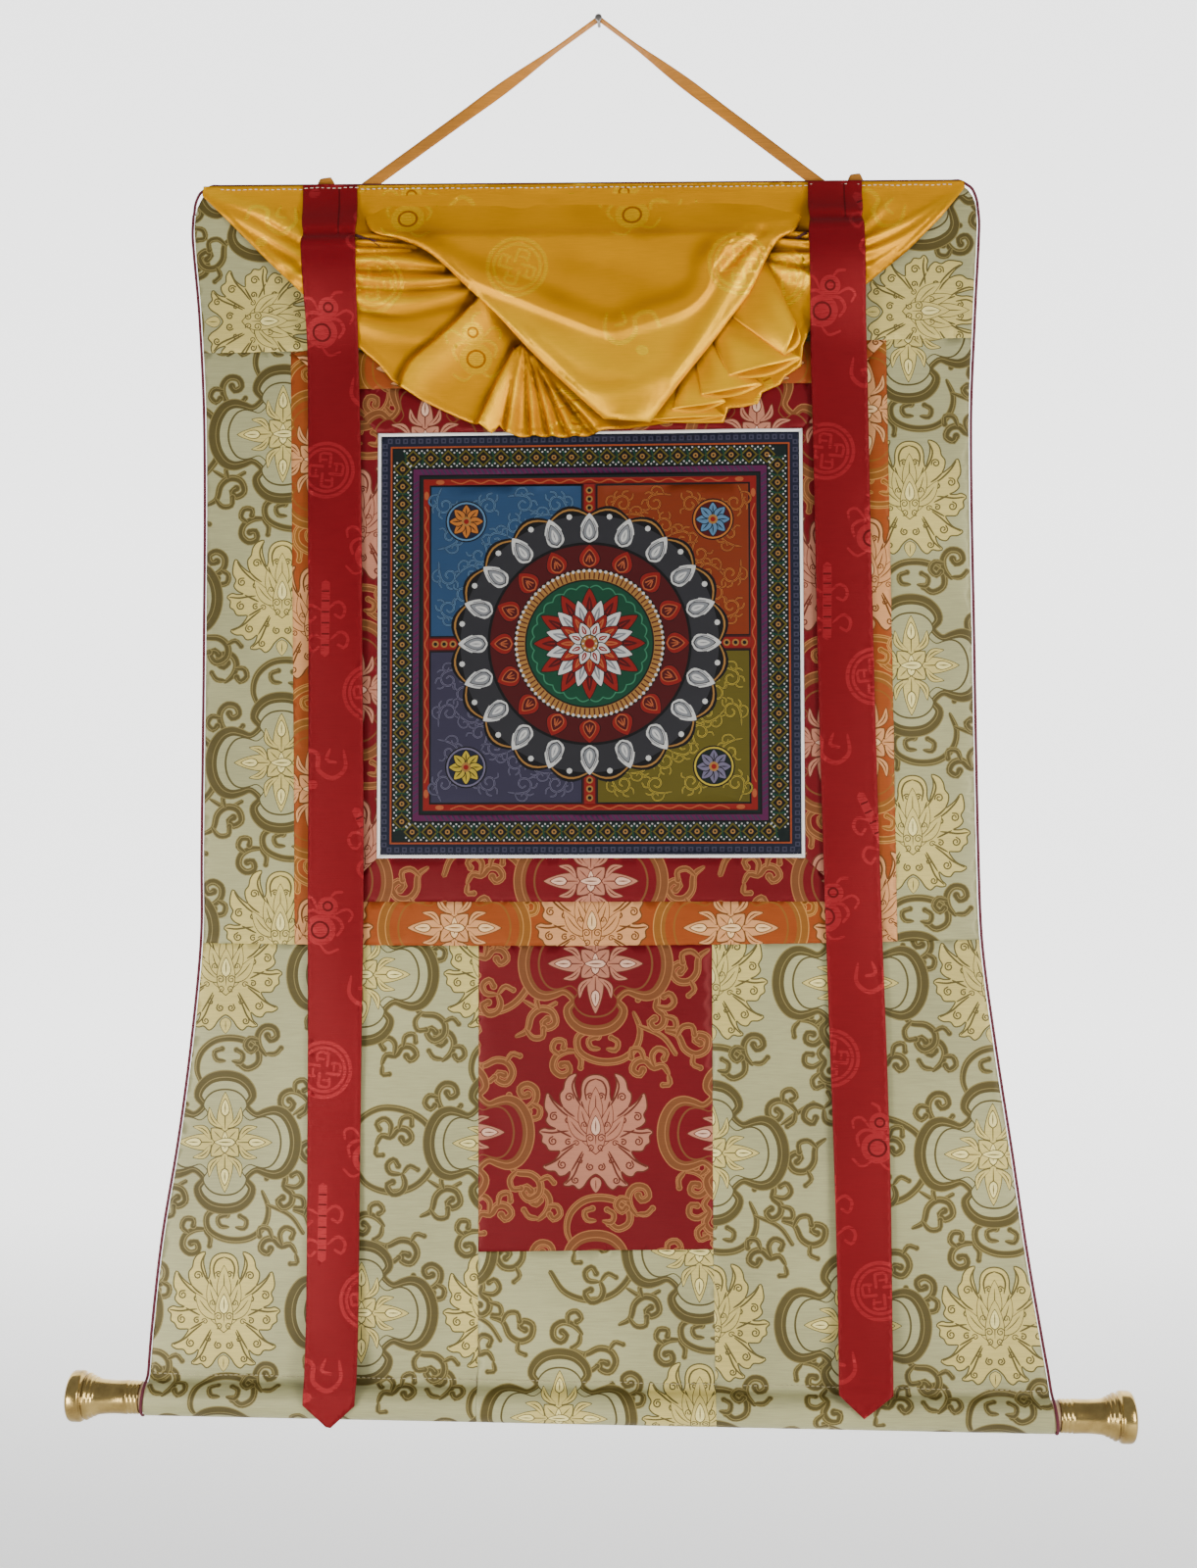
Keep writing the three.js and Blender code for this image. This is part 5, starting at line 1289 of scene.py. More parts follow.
def bar(x, z, wide, tall, tone, turn=0.0):
    corners = np.array([(-wide, -tall), (wide, -tall), (wide, tall), (-wide, tall)], float) / 2
    return moved([(corners, tone)], x, z, turn)


def four_sides(figures):
    return [figure for turn in (0, 90, 180, 270) for figure in moved(figures, turn=turn)]


def dot(radius, tone, count, x=0.0, z=0.0):
    return disc(x, z, radius, radius, tone, count)


def round_row(figures, count, radius, start=0.0):
    """Copies of figures in a ring, each turned to point outwards."""
    laid = []
    for index in range(count):
        turn = start + 360 * index / count
        spot = (radius * math.sin(math.radians(turn)), radius * math.cos(math.radians(turn)))
        laid += moved(figures, *spot, -turn)
    return laid


def lobed_ring(radius, swell, lobes, tone):
    angles = np.linspace(0, math.tau, lobes * 8, endpoint=False)
    reach = radius + swell * np.abs(np.sin(angles * lobes / 2))
    return [(np.column_stack([reach * np.sin(angles), reach * np.cos(angles)])[::-1], tone)]


def painted_border():
    """Navy edge with slate bars, a band of beaded lozenges, and striped and plain lines inside it."""
    bars_height, lozenge_height, stripe_height, wave_height = 186.6, 170.5, 158, 148.4
    bars, lozenges, stripes = [], [], []
    for x in np.arange(-182, 183, 7.0):
        bars += bar(x, bars_height, 4.4, 4.6, SLATE) + bar(x, bars_height, 2.0, 2.2, NAVY)
    for x in np.arange(-161, 162, 16.1):
        lozenges += square(5.6, OLIVE, x, lozenge_height, 45) + square(4.2, BLACK, x, lozenge_height, 45)
        lozenges += dot(2.4, GOLD, 8, x, lozenge_height) + dot(1.1, BOTTLE, 6, x, lozenge_height)
        for along, up in ((-8.05, 7), (-8.05, -7), (-5.6, 5.1), (5.6, 5.1), (-5.6, -5.1), (5.6, -5.1),
                          (-2.9, 7.6), (2.9, 7.6), (-2.9, -7.6), (2.9, -7.6)):
            lozenges += moved(dot(0.95, WHITE, 6), x + along, lozenge_height + up, scale=0.9)
        lozenges += [(stroke([(x - 8, 165), (x - 6.4, lozenge_height), (x - 8, 176)], 1.2, (1, 1)), GREEN)]
    for x in np.arange(-152, 153, 5.0):
        stripes += bar(x, stripe_height, 1.3, 5.6, VIOLET, 35)
    wave = [(x, wave_height + 1.5 * (-1) ** index) for index, x in enumerate(np.arange(-126, 127, 9.0))]
    line = [(stroke(wave, 1.1, (1, 1)), CORAL)]
    for x in (-136, 136):
        line += disc(x, wave_height, 4, 2.2, CORAL, 10)
    figures = square(191, NAVY) + four_sides(bars)
    figures += square(181.5, ORANGE) + square(180, BLACK) + square(178.8, BOTTLE) + four_sides(lozenges)
    figures += square(161.6, BLACK) + square(160.6, MAGENTA) + four_sides(stripes)
    figures += square(155.2, BLACK) + square(153.6, BOTTLE) + square(151.2, RED) + square(145.6, BLACK)
    return figures + four_sides(line)


def painted_scroll(light, dark, x, z, turn, flip, scale):
    """A painted tendril: a big curl with a smaller one and four leaves, light over dark."""
    figures = []
    curl = [(-18, -16), (-12, -2), (-2, 9), (9, 8), (13, -1), (8, -9), (0, -8), (-2, -1), (3, 2)]
    branch = [(-14, -7), (-20, 2), (-17, 11), (-9, 12), (-8, 5), (-13, 4)]
    for points, width in ((curl, 3.0), (branch, 2.3), ([(4, 9), (8, 15), (15, 15)], 2.6),
                          ([(13, 1), (19, 4), (21, 10)], 2.4), ([(-6, 6), (-6, 14), (-1, 18)], 2.4),
                          ([(9, -9), (14, -14), (12, -19)], 2.2)):
        figures.append((stroke(points, width + 1.4, (0.6, 0.8)), dark))
        figures.append((stroke(points, width, (0.4, 0.8)), light))
        figures.append((stroke(points, width * 0.3, (0.4, 0.8)), dark))
    return moved(figures, x, z, turn, flip, scale)


# Place, turn and flip of each painted tendril in the upper right quarter.
TENDRILS = [(28, 128, 10, 0), (60, 130, 60, 1), (128, 30, 250, 1), (130, 62, 200, 0), (84, 96, 320, 0),
            (98, 82, 130, 1), (126, 96, 100, 0), (94, 126, 340, 1), (134, 128, 225, 0), (44, 112, 300, 0),
            (112, 46, 160, 1), (66, 106, 40, 0), (108, 66, 20, 1)]


def painted_quarters():
    """Four quarters of tone-on-tone scrolls, parted by a red and gold cross, each with a flower."""
    figures = []
    quarters = ((-1, 1, BLUE, PALE_BLUE, NAVY, AMBER), (1, 1, RUST, AMBER, WINE, PALE_BLUE),
                (1, -1, OLIVE, YELLOW, BOTTLE, LILAC), (-1, -1, VIOLET, LILAC, NAVY, YELLOW))
    for side, rise, ground, light, dark, flower in quarters:
        figures += square(72, ground, side * 72, rise * 72)
        for x, z, turn, flip in TENDRILS:
            like_first = side * rise > 0
            turned = (turn if like_first else -turn) + (0 if rise > 0 else 180)
            figures += painted_scroll(light, dark, side * x, rise * z, turned,
                                      bool(flip) == like_first, 0.62)
        centre = (side * 112, rise * 112)
        roundel = dot(19, BLACK, 28) + dot(17.8, light, 28) + dot(16.2, dark, 28)
        roundel += round_row(petal((0, 3), (0, 15), 8, tone=flower, line=BLACK), 8, 0.0)
        figures += moved(roundel + dot(4.4, GOLD, 12) + dot(2.4, RED, 10), *centre)
    arm = bar(0, 132, 15, 27, BLACK) + bar(0, 132, 12.4, 27, WINE) + bar(0, 132, 9.6, 27, RED)
    for z in (124, 132, 140):
        arm += dot(3.2, GOLD, 10, z=z) + dot(1.8, BLACK, 8, z=z)
    return figures + four_sides(arm)


def painted_rosette():
    """Rings of white and red petals, a beaded ring, and a green pool with a flower in four rows."""
    figures = lobed_ring(119, 8, 20, BLACK) + lobed_ring(117, 7.4, 20, GOLD)
    figures += lobed_ring(115.6, 7.0, 20, BLACK)
    white = petal((0, -12), (0, 15), 19, tone=WHITE, line=CHARCOAL, point=0.3)
    white += petal((0, -9), (0, 9), 10.5, tone=GREY, line=CHARCOAL)
    white += petal((0, -7), (0, 5), 5.5, tone=WHITE, line=GREY)
    for side in (-1, 1):
        white += [(stroke([(side * 4.5, -8), (side * 6.6, 0), (side * 3.4, 8)], 1.1), GREY)]
        white += [(stroke([(side * 7.6, -10), (side * 8.6, -4), (side * 8.0, 2)], 1.3), CHARCOAL)]
    figures += dot(117, CHARCOAL, 90) + round_row(white, 20, 104)
    for turn in range(20):
        angle = math.radians(turn * 18 + 9)
        figures += dot(2.6, WHITE, 8, 117 * math.sin(angle), 117 * math.cos(angle))
    figures += dot(92.5, BLACK, 80) + dot(90, WINE, 80)
    red = petal((0, -10), (0, 11), 20, tone=RED, line=BLACK, point=0.3)
    red += petal((0, -8), (0, 6), 11, tone=WINE, line=CORAL)
    red += [(stroke([(-3, -4), (0, 2), (3, -4)], 1.2, (1, 1)), CORAL)]
    figures += round_row(red, 16, 79) + dot(68.5, BLACK, 70) + dot(67, GOLD, 70)
    ray = bar(0, 62.5, 1.2, 7, WINE)
    for index in range(90):
        figures += moved(ray, turn=index * 4)
    figures += round_row(dot(1.5, WHITE, 7), 84, 66.6) + dot(58.6, BLACK, 60) + dot(57.2, GREEN, 60)
    figures += lobed_ring(51, 2.8, 26, MINT) + lobed_ring(49.8, 2.8, 26, GREEN)
    for count, reach, wide, start, tone, inner, line in (
            (12, 50, 17, 0, RED, WINE, BLACK), (12, 40, 14, 15, WHITE, GREY, BLACK),
            (12, 30, 11, 0, RED, CORAL, BLACK), (8, 20, 10, 22.5, WHITE, RED, BLACK)):
        leaf = petal((0, reach * 0.28), (0, reach), wide, tone=tone, line=line)
        leaf += petal((0, reach * 0.45), (0, reach * 0.86), wide * 0.36, tone=inner, line=tone)
        figures += round_row(leaf, count, 0.0, start)
    figures += dot(8.4, BLACK, 20) + dot(7.4, GOLD, 20) + dot(4.4, RED, 14)
    return figures + round_row(dot(0.9, WHITE, 6), 8, 5.9)


def make_painting():
    outline = panel_outline(*(steady(value) for value in PAINTING))
    figures = painted_border() + painted_quarters() + painted_rosette()
    spots, triangles, tones = inlay(outline, figures, grid_points(outline, 10, 10))
    x, z = spots.T
    middle = cloth_depth(x, z)
    pigments = [tuple(0.56 * part ** 1.2 for part in pigment) for pigment in PIGMENTS]
    canvas = figured_silk("painted_canvas", pigments, [0.6] * len(PIGMENTS), (0.35, 0.35, 0.35),
                          pitch=0.0007, bump=0.16, metallic=0.0, vary=0.12)
    bare = fabric("bare_canvas", (0.36, 0.30, 0.21), 0.0008, 0.7, 0.9, 0.0, 0.35, 0.16)
    faces = both_faces(x, middle - CANVAS_THICKNESS / 2, middle + CANVAS_THICKNESS / 2, z)
    painting = lined_sheet("painting_canvas", *faces, triangles, tones, canvas, spots, bare)
    dress(painting, "painted_canvas", "painting")


make_painting()

# Damask figures woven into the ribbons and the veil: gourds, flutes, scrolls and round frets, at
# about 50 mm across. Tones: 1 figure, 2 its dark line.
FIGURE, FIGURE_LINE = 1, 2


def figure_line(points, width, taper=(0.35, 0.8), tone=FIGURE):
    return [(stroke(points, width, taper), tone)]


def draw_gourd():
    figures = disc(0, -9, 11.5, 11, FIGURE) + disc(0, 9, 7.5, 7, FIGURE)
    figures += disc(0, -9, 7, 6.6, FIGURE_LINE) + disc(0, -9, 5.4, 5.1, FIGURE)
    figures += disc(0, 9, 4, 3.8, FIGURE_LINE) + disc(0, 9, 2.6, 2.4, FIGURE)
    figures += figure_line([(0, 15), (2, 20), (7, 22)], 2.2)
    for side in (-1, 1):
        figures += figure_line([(0, 1), (9 * side, 3), (15 * side, -2), (13 * side, -9)], 2.4)
        figures += figure_line([(6 * side, 4), (13 * side, 11), (19 * side, 9), (18 * side, 3)], 2.0)
        figures += figure_line([(3 * side, -19), (10 * side, -23), (17 * side, -18)], 2.0)
    return figures


def draw_flute():
    figures = figure_line([(-3, -26), (3, 26)], 6.4, (0.95, 0.95))
    for z in (-19, -11, -3, 5, 13, 20):
        figures += figure_line([(z * 0.11 - 2.6, z), (z * 0.11 + 2.6, z - 0.6)], 1.2, (1, 1), FIGURE_LINE)
    for side, z in product((-1, 1), (-16, 6)):
        figures += figure_line([(2 * side, z), (10 * side, z + 5), (15 * side, z), (12 * side, z - 7),
                                (7 * side, z - 4)], 2.4)
    return figures


def draw_scroll():
    figures = figure_line([(-17, 8), (-14, -5), (-3, -9), (5, 0), (2, 11), (11, 17), (19, 10)], 3.4)
    return figures + figure_line([(-8, 12), (-3, 5), (-9, 1)], 2.6) + disc(13, -9, 4.4, 3.6, FIGURE, 12)


def draw_round_fret():
    """A round medallion of plain interlocked bars inside a double ring."""
    bars = figure_line([(-2.5, 2.5), (-2.5, 12)], 2.2, (1, 1))
    bars += figure_line([(-2.5, 12), (5, 12), (5, 5.5)], 2.0, (1, 1))
    bars += figure_line([(0, 7.5), (5, 7.5)], 1.6, (1, 1))
    rings = dot(21, FIGURE, 32) + dot(18.4, 0, 32) + dot(16.8, FIGURE, 32) + dot(14.6, 0, 28)
    return rings + four_sides(bars)


def scattered(outline, step_x, step_z, start_x, start_z, order, scale):
    """Damask figures set in a half-drop arrangement over an outline."""
    drawn = {"gourd": draw_gourd(), "flute": draw_flute(),
             "fret": draw_round_fret(), "scroll": draw_scroll()}
    low, high = outline.min(0) - 30, outline.max(0) + 30
    laid = []
    for column, row in product(range(-14, 15), repeat=2):
        x = start_x + column * step_x
        z = start_z + row * step_z + (step_z / 2 if column % 2 else 0)
        if low[0] < x < high[0] and low[1] < z < high[1]:
            kind = order[(row + column * 2) % len(order)]
            turn = (row * 47 + column * 71) % 4 * 12 - 18
            laid += moved(drawn[kind], x, z, turn, bool((row + column) % 2), scale)
    return laid


# Veil: yellow silk damask sewn along the heading. Its back layer is bunched behind both ribbons
# and falls in pleats, and a pointed swag hangs in front of it with rolled edges.
VEIL_THICKNESS = 1.8
VEIL_HEM = [
    (-357, 417), (-326, 386), (-294, 353), (-262, 322), (-236, 297), (-211, 273), (-192, 257),
    (-181, 243), (-170, 234), (-151, 222), (-130, 212), (-113, 204), (-98, 198), (-88, 190.5),
    (-81, 198), (-73, 190), (-63, 188), (-46, 188.5), (-34, 188), (-18, 187.5), (-1, 188.5), (17, 194),
    (36, 195), (53, 197), (74, 200), (100, 199), (122, 199), (126, 212), (140, 213), (153, 216),
    (157, 226), (173, 233), (177, 240), (192, 250), (194, 268), (200, 284), (225, 302), (248, 320),
    (288, 353), (319, 384), (341, 412),
]
# How far down the swag, then the place of its left and of its right edge there.
SWAG_EDGES = [
    (0, -206, 419, 194, 417), (0.12, -206, 396, 194, 391), (0.2, -197, 378, 188, 374),
    (0.3, -172, 369, 171, 362), (0.4, -145, 356, 157, 338), (0.52, -114, 328, 145, 314),
    (0.64, -84, 299, 128, 291), (0.76, -55, 267, 111, 268), (0.88, -20, 232, 87, 238),
    (1, 14, 201, 56, 197),
]
# Folds: points from the gathered end outwards, heights at both ends, then the soft and the steep
# width. The steep side is on the right hand along the fold.
VEIL_FOLDS = [
    ([(-347, 416), (-302, 398), (-261, 372)], 2.5, 7, 9, 4),
    ([(-336, 401), (-300, 380), (-258, 352)], 1.5, 6, 9, 4),
    ([(-322, 386), (-290, 358), (-258, 333)], 1.0, 5, 6, 4),
    ([(-275, 398), (-262, 384), (-252, 372)], 1.0, 4, 6, 4),
    ([(-212, 374), (-194, 373.5), (-176, 372)], 5.5, 2, 2.8, 2),
    ([(-212, 367.5), (-186, 367), (-158, 365)], 6.5, 2, 3, 1.8),
    ([(-212, 359), (-188, 361), (-164, 362)], 5.5, 2, 3, 2),
    ([(-214, 348), (-176, 350), (-132, 346)], 8, 5, 8, 4),
    ([(-214, 332), (-172, 331), (-118, 333)], 8, 6, 7, 4),
    ([(-212, 314), (-168, 312), (-112, 322)], 7, 4, 10, 6),
    ([(-212, 296), (-180, 286), (-150, 282)], 4, 3, 10, 8),
    ([(-98, 316), (-120, 291), (-144, 271), (-161, 256), (-168, 242)], 11, 8, 22, 4),
    ([(-66, 268), (-84, 232), (-100, 196)], 9, 13, 16, 3),
    ([(-61, 268), (-68, 230), (-73, 190)], 8, 12, 7, 2.4),
    ([(-57, 266), (-53, 230), (-50, 189)], 6, 9, 4, 2.4),
    ([(-54, 264), (-42, 228), (-33, 189)], 6, 9, 3.6, 2.4),
    ([(-50, 260), (-30, 224), (-14, 189)], 6, 9, 5, 2.8),
    ([(-38, 246), (-8, 214), (10, 193)], 5, 7, 12, 4),
    ([(200, 348), (180, 350), (158, 352)], 5, 3, 7, 2.5),
    ([(200, 360), (184, 363), (166, 366)], 6, 3, 3, 2),
    ([(200, 368), (188, 370), (176, 373)], 5.5, 2, 3, 2),
    ([(200, 330), (182, 336), (150, 345)], 6, 4, 8, 4),
    ([(248, 348), (292, 371), (338, 409)], 7, 3, 4, 8),
    ([(250, 361), (292, 382), (332, 406)], 6, 2, 3.5, 7),
    ([(250, 336), (284, 358), (322, 390)], 5, 2, 3.5, 6),
    ([(248, 374), (262, 390), (276, 402)], 4, 1.5, 4, 6),
]
# Both bunched necks: their middles, and how far the bunch reaches across and up.
VEIL_NECKS = ((-236, 346), (224, 346))
NECK_WIDE, NECK_TALL = 44, 40
SWAG_FOLDS = [
    ([(122, 350), (112, 336), (107, 317), (86, 297), (44, 283), (18, 278), (-21, 293), (-62, 311),
      (-109, 331), (-150, 352)], 4.5, 4.0, 4.5, 46),
    ([(-178, 392), (-120, 368), (-60, 352), (10, 348)], 2.0, 0.8, 14, 12),
    ([(184, 384), (150, 379), (110, 371), (60, 364)], 3.4, 0.8, 5, 8),
    ([(158, 372), (140, 352), (121, 334)], -5.0, -3.0, 4, 5),
    ([(150, 366), (128, 356), (112, 342)], 4.0, 2.5, 5, 9),
    ([(-168, 363), (-120, 340), (-70, 318)], 2.4, 1.0, 4, 5),
    ([(-20, 236), (16, 222), (70, 236)], 2.0, 1.5, 8, 8),
    ([(150, 358), (128, 318), (100, 270), (76, 234)], 3.2, 2.0, 5, 7),
    ([(-98, 308), (-52, 274), (-14, 238)], 2.6, 2.0, 6, 5),
    ([(-40, 276), (0, 250), (40, 240)], 1.6, 1.2, 10, 9),
]


def beside(points, spots):
    """How far spots lie to the left of a path, and how far along it."""
    path = smooth_path(points, 6.0)
    nearest = np.full(len(spots), 1e9)
    signed, share = np.zeros(len(spots)), np.zeros(len(spots))
    for index, (start, end) in enumerate(zip(path[:-1], path[1:])):
        run = end - start
        offset = spots - start
        along = np.clip(offset @ run / (run @ run), 0, 1)
        away = np.linalg.norm(offset - along[:, None] * run, axis=1)
        side = run[0] * offset[:, 1] - run[1] * offset[:, 0]
        closer = away < nearest
        nearest = np.where(closer, away, nearest)
        signed = np.where(closer, np.where(side > 0, away, -away), signed)
        share = np.where(closer, (index + along) / (len(path) - 1), share)
    return signed, share


def fold_relief(folds, spots):
    """How far folds stand forward, where the strongest ridges win, and the painted light: a painted
    highlight along each crest and painted shade beyond its steep side and in valleys.
    """
    ridges, valleys, bright, dark = np.zeros((4, len(spots)))
    for points, start_height, end_height, soft, steep in folds:
        signed, share = beside(points, spots)
        width = np.where(signed > 0, soft, steep)
        height = start_height + (end_height - start_height) * share
        shape = height * ridge(signed, width)
        size = np.clip(height / 6, -1, 1)
        narrow = min(steep, 8)
        # Painted highlight on the crest, painted shade beyond the steep side.
        bright = np.maximum(bright, size * ridge(signed - 0.15 * soft, 0.75 * width))
        dark = np.maximum(dark, size * ridge(signed + 1.8 * narrow, 1.3 * narrow))
        if start_height >= 0:
            ridges += np.maximum(shape, 0) ** 3
        else:
            valleys += shape
            dark = np.maximum(dark, -size * ridge(signed, width))
    return ridges ** (1 / 3) + valleys, 0.33 * bright - 0.36 * dark


def paint_fold_light(piece, painted_light):
    """Sets the painted light and shade at each point, 0 in a deep fold and 1 on a crest; the back gets a
    darker copy as painted shade.
    """
    painted_light = np.clip(np.concatenate([painted_light, painted_light * 0.6]), 0, 1).astype(np.float32)
    piece.data.attributes.new("painted_light", "FLOAT", "POINT").data.foreach_set("value", painted_light)


def fold_points(folds, outline):
    """Extra mesh points along every fold and beside it, so its edge stays crisp."""
    points = []
    for path, *_ in folds:
        middles = smooth_path(path, 2.6)
        along = unit(np.gradient(middles, axis=0))
        sideways = np.column_stack([-along[:, 1], along[:, 0]])
        points += [middles + sideways * shift for shift in (-3.2, -1.6, 0, 1.8)]
    points = np.vstack(points)
    return points[winding(outline, points) != 0]


def silk_swell(x, z):
    """Small loose creases of thin silk."""
    return 0.5 * np.sin(x / 9.5 + z / 23) * np.sin(z / 14 - x / 41) + 0.35 * np.sin(z / 6.5 + x / 19 + 0.6)


# Pleats: two roots on the swag's edge, two ends of the lip, how far it opens and stands forward.
FAN_LOBES = [
    ((126, 296), (160, 348), (176, 256), (187, 285), 9, 13),
    ((110, 276), (128, 298), (126, 238), (192, 254), 8.5, 11),
    ((96, 257), (112, 279), (102, 222), (157, 231), 6.5, 8.5),
    ((84, 240), (98, 259), (75, 210), (124, 216), 5.5, 6),
    ((62, 218), (86, 242), (53, 202), (123, 204), 4.0, 3.5),
]
FAN_ROWS, FAN_COLUMNS = 16, 24


def make_fan(silk):
    """Pleats beside the swag: flattened cones of silk that open in lens-shaped ends."""
    across, down = np.meshgrid(np.linspace(0, 1, FAN_COLUMNS), np.linspace(0, 1, FAN_ROWS))
    across, down = across.ravel(), down.ravel()
    bow = np.sin(math.pi * across)
    fronts, backs, triangles, painted_lights = [], [], [], []
    for root_left, root_right, lip_left, lip_right, opening, stand in FAN_LOBES:
        roots, lips = np.array([root_left, root_right], float), np.array([lip_left, lip_right], float)
        run = unit(lips[1] - lips[0])
        outward = np.array([run[1], -run[0]])
        outward = outward if outward @ (lips.mean(0) - roots.mean(0)) > 0 else -outward
        for wall in (0, 1):
            start = len(fronts) * len(across)
            root = roots[0] + (roots[1] - roots[0]) * across[:, None]
            lip = lips[0] + (lips[1] - lips[0]) * across[:, None]
            lip = lip + outward * (bow * (opening if wall else 1.0))[:, None]
            spots = root + (lip - root) * down[:, None]
            x, z = spots.T
            behind = cloth_depth(x, z) - 6.5 - stand * (0.45 + 0.55 * down)
            wrinkle = np.sin(across * 9 + stand)
            bulge = (0.4 * bow if wall else opening * 0.75 * bow * down) + 0.7 * wrinkle * down
            y = behind - bulge + 0.9 * wall - 0.8 * ridge(1 - down, 0.07)
            front, back = both_faces(x, y, y + 0.8, z)
            fronts.append(front)
            backs.append(back)
            # Painted light: the front wall grows lighter towards its lip and the inner wall stays darker,
            # as painted highlight and painted shade.
            shine = 0.2 + 0.5 * down ** 6 if wall else 0.35 + 0.75 * down ** 0.8 - 0.35 * (1 - bow)
            painted_lights.append(shine + 0.1 * wrinkle)
            for row, column in product(range(FAN_ROWS - 1), range(FAN_COLUMNS - 1)):
                corner = start + row * FAN_COLUMNS + column
                below = corner + FAN_COLUMNS
                triangles += [(corner, below, below + 1), (corner, below + 1, corner + 1)]
    triangles = np.array(triangles)
    tones = np.zeros(len(triangles), int)
    fan = lined_sheet("veil_fan", np.vstack(fronts), np.vstack(backs), triangles, tones, silk)
    paint_fold_light(fan, np.concatenate(painted_lights))
    dress(fan, "veil_silk", "veil")


def rolled_edge(distance):
    """A narrow rolled hem with its row of stitches."""
    return 1.1 * ridge(distance - 2.2, 1.9) - 0.7 * ridge(distance - 5.4, 1.0)


def off_neck(x, z, neck):
    """How far a place lies from the middle of a bunched neck, squared and by the neck's own size."""
    return ((x - neck[0]) / NECK_WIDE) ** 2 + ((z - neck[1]) / NECK_TALL) ** 2


def make_veil(silk):
    hem_x, hem_z = np.array(VEIL_HEM, float).T
    fine_x = np.unique(np.concatenate([np.arange(-357, 341, 3.0), hem_x]))
    hem_line = np.column_stack([fine_x, np.interp(fine_x, hem_x, hem_z)])
    head = np.arange(340, -357, -6.0)
    outline = np.vstack([hem_line, np.column_stack([head, top_edge(head) - 0.1])])
    figures = scattered(outline, 92, 116, -12, 330, ("fret", "gourd", "scroll", "flute"), 1.3)
    inner = np.vstack([grid_points(outline, 3.4, 3.0), fold_points(VEIL_FOLDS, outline)])
    spots, triangles, tones = inlay(outline, figures, inner)
    x, z = spots.T
    drop = top_edge(x) - z
    fall = smooth_step(drop, 0, 34)
    from_hem = np.minimum(edge_distance(hem_line, spots), np.abs(z - np.interp(x, hem_x, hem_z)) * 0.9)
    relief, painted_light = fold_relief(VEIL_FOLDS, spots)
    relief = relief + silk_swell(x, z)
    # Painted light: lighter on crests, along small creases and towards the left side, painted shade in the
    # folds.
    painted_light = 0.52 + painted_light + 0.08 * silk_swell(x, z) + 0.14 * smooth_step(x, -120, -330)
    under_swag = edge_distance(swag_outline(), spots)
    # Painted shadow of the swag on the back layer beside its edges.
    painted_light -= 0.34 * ridge(under_swag, 13) * fall
    for neck in VEIL_NECKS:
        turn = np.arctan2(z - neck[1], x - neck[0])
        relief += np.exp(-off_neck(x, z, neck)) * (11.5 + 1.6 * np.sin(turn * 13))
    relief += rolled_edge(from_hem) * smooth_step(drop, 6, 22)
    middle = cloth_depth(x, z) - CLOTH_THICKNESS / 2 - 0.3 - 2.3 * fall - VEIL_THICKNESS / 2
    middle = middle - np.maximum(fall * relief, 0)
    faces = both_faces(x, middle - VEIL_THICKNESS / 2, middle + VEIL_THICKNESS / 2, z)
    veil = lined_sheet("veil_back_layer", *faces, triangles, tones, silk)
    paint_fold_light(veil, painted_light)
    dress(veil, "veil_silk", "veil")


def swag_edges(downs):
    """X and height of the swag's left and right edges, by the share of the way down."""
    table = np.array(SWAG_EDGES, float)
    return [smooth_curve(table[:, 0], table[:, column])(downs) for column in range(1, 5)]


def swag_sides():
    """The swag's left edge downwards, its foot, and its right edge upwards."""
    left_x, left_z, right_x, right_z = swag_edges(np.linspace(0, 1, 70))
    shares = np.linspace(0, 1, 16)[1:-1]
    foot_z = left_z[-1] + (right_z[-1] - left_z[-1]) * shares - 1.2 * np.sin(shares * math.pi)
    foot = np.column_stack([left_x[-1] + (right_x[-1] - left_x[-1]) * shares, foot_z])
    return np.vstack([np.column_stack([left_x, left_z]), foot, np.column_stack([right_x, right_z])[::-1]])


def swag_outline():
    head_x = np.arange(188, -204, -6.0)
    return np.vstack([swag_sides(), np.column_stack([head_x, top_edge(head_x) - 2.6])])


def swag_place(spots):
    """How far across and down the swag each spot lies."""
    downs = np.linspace(0, 1, 240)
    left_x, left_z, right_x, right_z = swag_edges(downs)
    across, down = np.full(len(spots), 0.5), np.zeros(len(spots))
    for _ in range(8):
        drop = np.interp(down, downs, right_z - left_z) * across
        down = np.interp(-(spots[:, 1] - drop), -left_z, downs)
        low, high = np.interp(down, downs, left_x), np.interp(down, downs, right_x)
        across = np.clip((spots[:, 0] - low) / (high - low), 0, 1)
    return across, down


